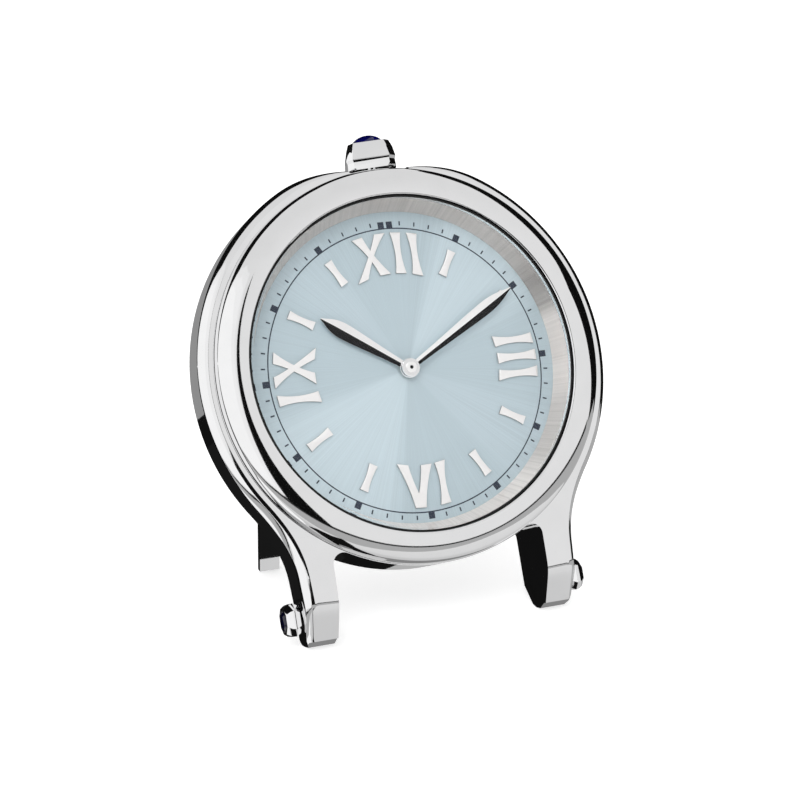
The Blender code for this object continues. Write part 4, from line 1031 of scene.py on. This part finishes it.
def make_print():
    """The minute track, printed: a circle, sixty ticks and a block at each hour."""
    top, bottom = ink_thickness, ink_thickness / 10
    half = track_width / 2
    profile = [(track_radius - half, top), (track_radius + half, top), (track_radius + half, bottom),
               (track_radius - half, bottom)]
    dress(lathed("minute_track", profile), "ink", "ice_blue_dial", "case", matrix=DIAL)
    bars = []
    for minute in range(60):
        angle = FULL_TURN * minute / 60
        square = (square_inner_radius, square_outer_radius, square_width, angle)
        if minute == 0:
            bars += [bar(*square, side * twelve_square_offset) for side in (-1, 1)]
        elif minute % 5 == 0:
            bars.append(bar(*square))
        else:
            bars.append(bar(tick_inner_radius, tick_outer_radius, tick_width, angle))
    dress(plate("minute_ticks", bars, top * tick_overprint, bottom), "ink", "ice_blue_dial", "case", matrix=DIAL)


def stroke(name, foot, head, end_width=stroke_end_width, waist_width=stroke_waist_width,
           inner_radius=mark_inner_radius, outer_radius=mark_outer_radius):
    """A flared stroke between sideways offsets at its foot and head, its ends on two circles round the centre."""
    sides = []
    for side in (-1, 1):
        points = []
        for place in evenly(curve_steps // 2):
            t = 2 * place - 1
            half = (waist_width + (end_width - waist_width) * t * t) / 2
            offset = foot + (head - foot) * place + side * half
            low = math.sqrt(inner_radius**2 - offset**2)
            high = math.sqrt(outer_radius**2 - offset**2)
            points.append((offset, low + (high - low) * place))
        sides.append(points)
    return plate(name, [sides[0] + sides[1][::-1]], laid_gap + mark_thickness, laid_gap)


def turned(angle):
    """The dial's matrix turned clockwise."""
    return DIAL @ Matrix.Rotation(-angle, 4, "Z")


def set_mark(mark, angle, node):
    """Sets a mark at its hour; its front is bright and its edges carry a painted shade."""
    mesh = dress(mark, "mark", "polished_steel", "case", node, matrix=turned(angle), bevel=mark_bevel).data
    mesh.materials.append(LOOKS["mark_edge"])
    # Faces that don't face out along the dial's normal get the painted shade
    for face in mesh.polygons:
        face.material_index = int(face.normal.z < mark_front_normal)


def upright(node, offset, angle):
    set_mark(stroke(f"applied_{node}", offset, offset), angle, node)


def paired(node, ends, angle, waist_width=stroke_waist_width):
    """A ten or a five: two strokes, each from its foot's offset to its head's, made one."""
    first, second = (stroke(name, *pair, waist_width=waist_width)
                     for name, pair in zip((f"applied_{node}", f"{node}_second"), ends))
    set_mark(combined(first, "UNION", second), angle, node)


def crossed(node, offset, angle):
    low, high = offset - letter_spread / 2, offset + letter_spread / 2
    paired(node, ((high, low), (low, high)), angle)


def vee(node, offset, angle):
    reach = letter_spread / 2
    paired(node, ((offset - reach, offset), (offset + reach, offset)), angle, vee_waist_width)


def make_marks():
    crossed("numeral_12_x", -ten_offset_at_twelve, 0)
    upright("numeral_12_i_1", stroke_pitch / 2, 0)
    upright("numeral_12_i_2", stroke_pitch * 3 / 2, 0)
    for i in (-1, 0, 1):
        upright(f"numeral_3_i_{i + 2}", i * stroke_pitch, 3 * hour_step)
    vee("numeral_6_v", stroke_pitch / 2 + six_shift, 6 * hour_step)
    upright("numeral_6_i", six_shift / 2 - stroke_pitch, 6 * hour_step)
    upright("numeral_9_i", -stroke_pitch, 9 * hour_step)
    crossed("numeral_9_x", ten_offset_at_nine, 9 * hour_step)
    for number in (1, 2, 4, 5, 7, 8, 10, 11):
        mark = stroke(f"applied_baton_{number}", 0, 0, baton_end_width, baton_waist_width, baton_inner_radius,
                      baton_outer_radius)
        set_mark(mark, number * hour_step, f"baton_{number}")


def make_hand(node, body, angle, length, width, hub_radius, bore_radius, height, painted_shade_side):
    """A leaf-shaped hand with a ridge: one slope bright, the other painted black as shade."""
    sections = []
    root = hub_radius - hand_root_sink
    for share in evenly(curve_steps * 2):
        near = (max(share - hand_smoothing, 0), share, min(share + hand_smoothing, 1))
        width_share = sum(looked_up(hand_shares, place) for place in near) / 3
        y = root + (length - root) * share
        half = width * width_share / 2
        ridge = hand_edge_thickness + (hand_ridge_thickness - hand_edge_thickness) * width_share
        sections.append([
            (-half, y, height),
            (-half, y, height + hand_edge_thickness),
            (0, y, height + ridge),
            (half, y, height + hand_edge_thickness),
            (half, y, height),
        ])
    hand = lofted(f"{node}_leaf", sections)
    for look in ("hand_bright", "hand_dark"):
        hand.data.materials.append(LOOKS[look])
    # The front faces on one side of the ridge get the painted black shade
    for face in hand.data.polygons:
        if face.normal.z > hand_front_normal and face.center.x * painted_shade_side > 0:
            face.material_index = 1
    dress(hand, "hand_bright", "polished_steel", body, node, matrix=turned(angle), sharp=hand_crease_angle)
    top = height + hub_thickness
    hub = rounded([
        (hub_radius, top, fit_gap),
        (hub_radius, height - fit_gap, fit_gap / 2),
        (bore_radius, height - fit_gap, 0),
        (bore_radius, top, 0),
    ])
    dress(lathed(f"{node}_hub", hub, small_turn_steps), "steel", "polished_steel", body, matrix=turned(angle))


def make_boss():
    """The minute hand's raised middle round the tip of its arbor."""
    low = minute_hand_height + hub_thickness
    top = low + hub_boss_height
    bore = arbor_tip_radius + laid_gap
    profile = rounded([(hub_boss_radius, top, fit_gap), (hub_boss_radius, low, 0), (bore, low, 0),
                       (bore, top, fit_gap / 2)])
    dress(lathed("minute_hand_boss", profile, small_turn_steps), "hand_bright", "polished_steel", "minute_train",
          matrix=DIAL)


def cut_corner_square(flat, corner, height):
    """The eight corners of a square of a width across flats, its corners cut off."""
    half = flat / 2
    near = half - corner
    loop = [(half, near), (near, half), (-near, half), (-half, near)]
    loop += [(-x, -y) for x, y in loop]
    return [(x, y, height) for x, y in loop]


def stone_seat(radius, top, base):
    """What a stone's seat takes out of its holder."""
    return rod("stone_seat", radius + fit_gap, top + overrun, base - fit_gap)


def set_stone(name, look, body, node, matrix, radius, height, base):
    """A stone with a flat base and a domed top."""
    turns = [QUARTER_TURN * share for share in evenly(curve_steps)]
    profile = [(radius * math.sin(turn), base + height * math.cos(turn)) for turn in turns] + [(0, base)]
    stone = lathed(name, profile, small_turn_steps)
    dress(stone, look, "blue_stone", body, node, matrix=matrix)


def make_crown():
    spin = CROWN @ Matrix.Rotation(crown_turn, 4, "Z")
    top = crown_height
    sections = [cut_corner_square(crown_flat * width, crown_corner * width, top * height)
                for height, width in crown_shares]
    sections.append(cut_corner_square(crown_flat, crown_corner, -overrun))
    crown = lofted("crown_grip", sections)
    barrel = rounded([
        (0, top, 0),
        (crown_top_radius, top, 0),
        (crown_radius, crown_foot_height, crown_foot_height / 2),
        (crown_foot_radius, 0, 0),
        (0, 0, 0),
    ], corner_steps)
    crown = combined(crown, "INTERSECT", lathed("crown_barrel", barrel, small_turn_steps))
    base = top - cabochon_sink
    bore = rod("crown_bore", stem_radius + fit_gap, crown_bore_depth, -overrun)
    crown = combined(crown, "DIFFERENCE", stone_seat(cabochon_radius, top, base), bore)
    dress(crown, "steel", "polished_steel", "crown_spin", "crown", matrix=spin, bevel=facet_rounding)
    set_stone("crown_stone", "stone", "crown_spin", "crown_cabochon", spin, cabochon_radius,
              cabochon_height + cabochon_sink, base)


def make_knobs():
    for side_name, side in SIDES:
        axis = CLOCK @ Matrix.Translation((side * leg_side_half, -knob_drop, -knob_back))
        axis = axis @ Matrix.Rotation(side * QUARTER_TURN, 4, "Y")
        sections = [cut_corner_square(knob_flat * width, knob_corner, knob_length * height)
                    for height, width in knob_shares]
        base = knob_length - knob_cabochon_sink
        knob = lofted(f"knob_{side_name}", sections)
        knob = combined(knob, "DIFFERENCE", stone_seat(knob_cabochon_radius, knob_length, base))
        dress(knob, "steel", "polished_steel", "case", f"knob_setting_{side_name}", matrix=axis,
              bevel=facet_rounding)
        set_stone(f"knob_stone_{side_name}", "small_stone", "case", f"knob_cabochon_{side_name}", axis,
                  knob_cabochon_radius, knob_cabochon_height, base)


def fasten(node, x, y, height):
    """Makes a flush screw whose head looks back from a height, and returns the cutter of its counterbored hole."""
    place = Matrix.Translation((x, y, height))
    rim = fit_gap / 2
    screw = lathed(f"{node}_head", rounded([
        (0, screw_head_depth * 2, 0),
        (screw_radius, screw_head_depth * 2, 0),
        (screw_radius, screw_head_depth, 0),
        (screw_head_radius, screw_head_depth, rim),
        (screw_head_radius, 0, rim),
        (0, 0, 0),
    ]), small_turn_steps)
    slot = block("screw_slot", (-screw_head_radius * 2, -screw_slot_width / 2, -overrun),
                 (screw_head_radius * 2, screw_slot_width / 2, screw_slot_depth))
    dress(combined(screw, "DIFFERENCE", slot), "satin", "satin_steel", "case", node, matrix=CLOCK @ place,
          bevel=rim / 2)
    shank, head, shelf = screw_radius + fit_gap, screw_head_radius + fit_gap, screw_head_depth + fit_gap
    profile = [(0, overrun), (shank, overrun), (shank, shelf), (head, shelf), (head, -overrun), (0, -overrun)]
    return placed(lathed(f"{node}_hole", profile, small_turn_steps), place)


def make_back():
    rim = crystal_edge_bevel
    spigot_radius = rear_bore_radius - fit_gap * 2
    back = lathed("rear_cover", rounded([
        (0, back_front + back_spigot_depth, 0),
        (spigot_radius, back_front + back_spigot_depth, 0),
        (spigot_radius, back_front, 0),
        (back_radius, back_front, rim / 2),
        (back_radius, back_rear, rim),
        (0, back_rear, 0),
    ]))
    holes = []
    for i in range(back_screw_count):
        x, y = clock_point(screw_circle, FULL_TURN * (i + 1 / 2) / back_screw_count)
        holes.append(fasten(f"back_screw_{i + 1}", x, y, back_rear))
    dress(combined(back, "DIFFERENCE", *holes), "satin", "satin_steel", "case", "case_back")
    for side_name, side in SIDES:
        make_bracket(side_name, side)


def rod_along_x(name, radius, low, high, place=(0, 0)):
    """A rod along X between two places, at (y, z), its ends rounded."""
    profile = rounded([(0, high, 0), (radius, high, fit_gap), (radius, low, fit_gap), (0, low, 0)])
    return placed(placed(lathed(name, profile, small_turn_steps), ALONG_X), Matrix.Translation((0, *place)))


def make_bracket(side_name, side):
    """A bracket on the rear cover: its plate, its knuckle round the pin and two screws."""
    near = barrel_half_length + seat_gap
    far = near + bracket_length
    low_x, high_x = sorted((side * near, side * far))
    base_front = back_rear - laid_gap
    base_rear = base_front - bracket_base
    bracket = block(f"hinge_plate_{side_name}", (low_x, stand_rise - bracket_foot, base_rear),
                    (high_x, stand_rise + bracket_rise, base_front))
    place = (stand_rise, hinge_back)
    knuckle = rod_along_x("knuckle", barrel_radius, low_x, high_x, place)
    web = block("knuckle_web", (low_x + laid_gap, stand_rise - barrel_radius + laid_gap, hinge_back),
                (high_x - laid_gap, stand_rise + barrel_radius - laid_gap, base_rear + bracket_base / 2))
    bracket = combined(bracket, "UNION", knuckle, web)
    cutters = [rod_along_x("pin_hole", hinge_pin_radius + hinge_running_gap, -far * 2, far * 2, place)]
    for i in range(2):
        x = side * (near + far) / 2
        y = stand_rise + barrel_radius + bracket_screw_start + bracket_screw_pitch * i
        cutters.append(fasten(f"bracket_screw_{side_name}_{i + 1}", x, y, base_rear))
    bracket = combined(bracket, "DIFFERENCE", *cutters)
    dress(bracket, "steel", "polished_steel", "case", f"hinge_bracket_{side_name}", bevel=fit_gap)


def make_stand():
    """The rear stand in its hinge's frame: two tapering arms, a crossbar, a barrel and the heel that stops it."""
    half = stand_thickness / 2
    reach = frame_radius * 2
    top, low = -crossbar_drop, -crossbar_drop - crossbar_height
    inner = stand_half_width - arm_width
    corner = crossbar_corner
    outline = [(barrel_half_length, 0), (barrel_half_length, top), (stand_half_width - corner, top)]
    outline += arc((stand_half_width - corner, top - corner), corner, QUARTER_TURN, 0, corner_steps)[1:]
    outline += [(stand_half_width, -reach), (inner, -reach), (inner, low - corner)]
    outline += arc((inner - corner, low - corner), corner, 0, QUARTER_TURN, corner_steps)[1:]
    stand = plate("stand_sheet", [outline + [(-x, y) for x, y in reversed(outline)]], half, -half)
    wedge_top, foot_reach = low - corner, stand_foot_reach()
    wedge = [
        (wedge_top, -half),
        (-foot_reach, half - stand_foot_thickness),
        (-foot_reach, -half - overrun),
        (wedge_top, -half - overrun),
    ]
    wide = stand_half_width + overrun
    taper = placed(plate("stand_taper", [wedge], wide, -wide), SIDE_PROFILE)
    stand = combined(stand, "DIFFERENCE", taper)
    barrel = rod_along_x("stand_barrel", barrel_radius, -barrel_half_length, barrel_half_length)
    lever = (stand_back - seat_gap - heel_thickness / 2 * math.cos(stand_open)) / math.sin(stand_open)
    heel = block("stand_heel", (-barrel_half_length / 2, 0, -heel_thickness / 2),
                 (barrel_half_length / 2, lever, heel_thickness / 2))
    stand = combined(stand, "UNION", barrel, heel)
    pin_hole = rod_along_x("stand_pin_hole", hinge_pin_radius + hinge_running_gap, -wide, wide)
    deep = frame_radius * 3
    floor = placed(block("stand_floor", (-wide, -deep, -deep), (wide, deep, 0)), STAND.inverted())
    stand = combined(stand, "DIFFERENCE", pin_hole, floor)
    dress(stand, "steel", "polished_steel", "stand", "stand_frame", matrix=STAND, bevel=fit_gap)
    pin_half = barrel_half_length + seat_gap + bracket_length
    dress(rod_along_x("stand_pin", hinge_pin_radius, -pin_half, pin_half, (stand_rise, hinge_back)), "satin",
          "satin_steel", "case", "hinge_pin")


def stand_foot_reach():
    """How far down the arms the taper ends."""
    lean = math.acos(CLOCK.col[1].z)
    height = CLOCK.translation.z + stand_rise * math.cos(lean) + hinge_back * math.sin(lean)
    return height / math.cos(lean - stand_open) + overrun * 2


def finish_inner_nodes():
    """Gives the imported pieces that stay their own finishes."""
    for look, nodes in inner_looks.items():
        for node in nodes:
            frame["nodes"][node].data.materials.clear()
            frame["nodes"][node].data.materials.append(LOOKS[look])


def way(azimuth, elevation):
    """A direction from the clock: azimuth in degrees from the viewer's side towards its right, and elevation."""
    turn, rise = math.radians(azimuth), math.radians(elevation)
    return Vector((math.sin(turn) * math.cos(rise), -math.cos(turn) * math.cos(rise), math.sin(rise)))


def set_card(sheet, tone):
    """Gives a sheet its tone and hides it from all but mirroring rays."""
    material, tree = node_tree(sheet.name)[:2]
    glow = put(tree, "Emission", {"Color": (tone, tone, tone, 1)}).outputs[0]
    set_inputs(tree, tree.nodes["Material Output"], {"Surface": glow})
    sheet.data.materials.append(material)
    for kind in ("camera", "diffuse", "transmission", "volume_scatter", "shadow"):
        setattr(sheet, f"visible_{kind}", False)


def make_cards():
    """Grey sheets drawn by (azimuth, elevation) on spheres round the clock, and a black flag before the stand's arm
    that puts painted shade into its reflection.
    """
    for i, (name, tone, outline) in enumerate(cards):
        work = evaluated(plate(f"card_{name}", [outline], 0, 0))
        for facing in ((1, 0, 0), (0, 1, 0)):
            for place in range(*card_cuts):
                bmesh.ops.bisect_plane(work, geom=everything(work), dist=weld_distance,
                                       plane_co=Vector(facing) * place, plane_no=facing)
        for vert in work.verts:
            vert.co = CLOCK.translation + way(vert.co.x, vert.co.y) * (card_reach - card_step * i)
        set_card(settle(work, f"card_{name}"), tone)
    # The flag: painted shade that the stand's arm mirrors
    set_card(block("card_painted_shade_flag", painted_shade_flag_low, painted_shade_flag_high), painted_shade_flag_tone)


def make_floor():
    """A white floor that keeps a soft shadow."""
    floor = block("floor", (-floor_reach, -floor_reach, -floor_thickness), (floor_reach, floor_reach, 0))
    material, tree, shader = node_tree("studio_floor")
    seen = ray_kinds(tree, "Is Camera Ray", "Is Transmission Ray")
    set_inputs(tree, shader, {
        "Roughness": 0.9,
        "Specular IOR Level": 0,
        "Base Color": ramp(tree, noise(tree, object_place(tree), scale=300), floor_tones),
        "Emission Color": WHITE,
        "Emission Strength": maths(tree, "MULTIPLY", seen, floor_glow),
    })
    floor.data.materials.append(material)
    floor.visible_glossy = False


def make_world():
    """A white world that is duller overhead and below where it is mirrored."""
    world = bpy.data.worlds.new("studio")
    bpy.context.scene.world = world
    world.use_nodes = True
    tree = world.node_tree
    place = put(tree, "TexCoord", {}).outputs["Generated"]
    level = put(tree, "SeparateXYZ", {0: place}).outputs["Z"]
    height = maths(tree, "MULTIPLY", maths(tree, "ADD", level, 1), 0.5)
    seen = ray_kinds(tree, "Is Camera Ray", "Is Glossy Ray", "Is Transmission Ray")
    set_inputs(tree, tree.nodes["Background"], {
        "Color": mixed(tree, ray_kinds(tree, "Is Glossy Ray"), WHITE, ramp(tree, height, sky_tones)),
        "Strength": spread(tree, seen, *sky_strengths),
    })


def make_lamp():
    """One large soft lamp above and to the left of the dial."""
    data = bpy.data.lights.new("key", "AREA")
    data.shape = "DISK"
    data.size = lamp_size
    data.energy = lamp_energy
    lamp = new_object("key", data)
    lamp.location = lamp_place
    lamp.visible_glossy = False
    lamp.rotation_euler = (Vector(lamp_aim) - lamp.location).to_track_quat("-Z", "Y").to_euler()


def make_camera():
    """The photograph's view of the dial."""
    data = bpy.data.cameras.new("camera")
    data.lens = camera_lens
    data.sensor_width = camera_sensor
    data.clip_start = camera_clip
    camera = new_object("camera", data)
    right = Vector(camera_right)
    back = right.cross(Vector(camera_up)).normalized()
    up = back.cross(right).normalized()
    matrix = Matrix((right.normalized(), up, back)).transposed().to_4x4()
    matrix.translation = CLOCK.translation + Vector(camera_offset) * MM
    camera.matrix_world = matrix
    bpy.context.scene.camera = camera


LOOKS = make_materials()
make_frame()
make_bezel()
make_crystal()
make_rehaut()
make_dial()
make_print()
make_marks()
make_hand("hour_hand", "hour_train", hour_angle, hour_hand_length, hour_hand_width, hour_hub_radius,
          hour_pipe_radius + fit_gap, hour_hand_height, -1)
make_hand("minute_hand", "minute_train", minute_angle, minute_hand_length, minute_hand_width, minute_hub_radius,
          arbor_tip_radius + laid_gap, minute_hand_height, 1)
make_boss()
make_crown()
make_knobs()
make_back()
make_stand()
finish_inner_nodes()
make_floor()
make_world()
make_cards()
make_lamp()
make_camera()
bpy.context.scene.view_settings.view_transform = "Standard"
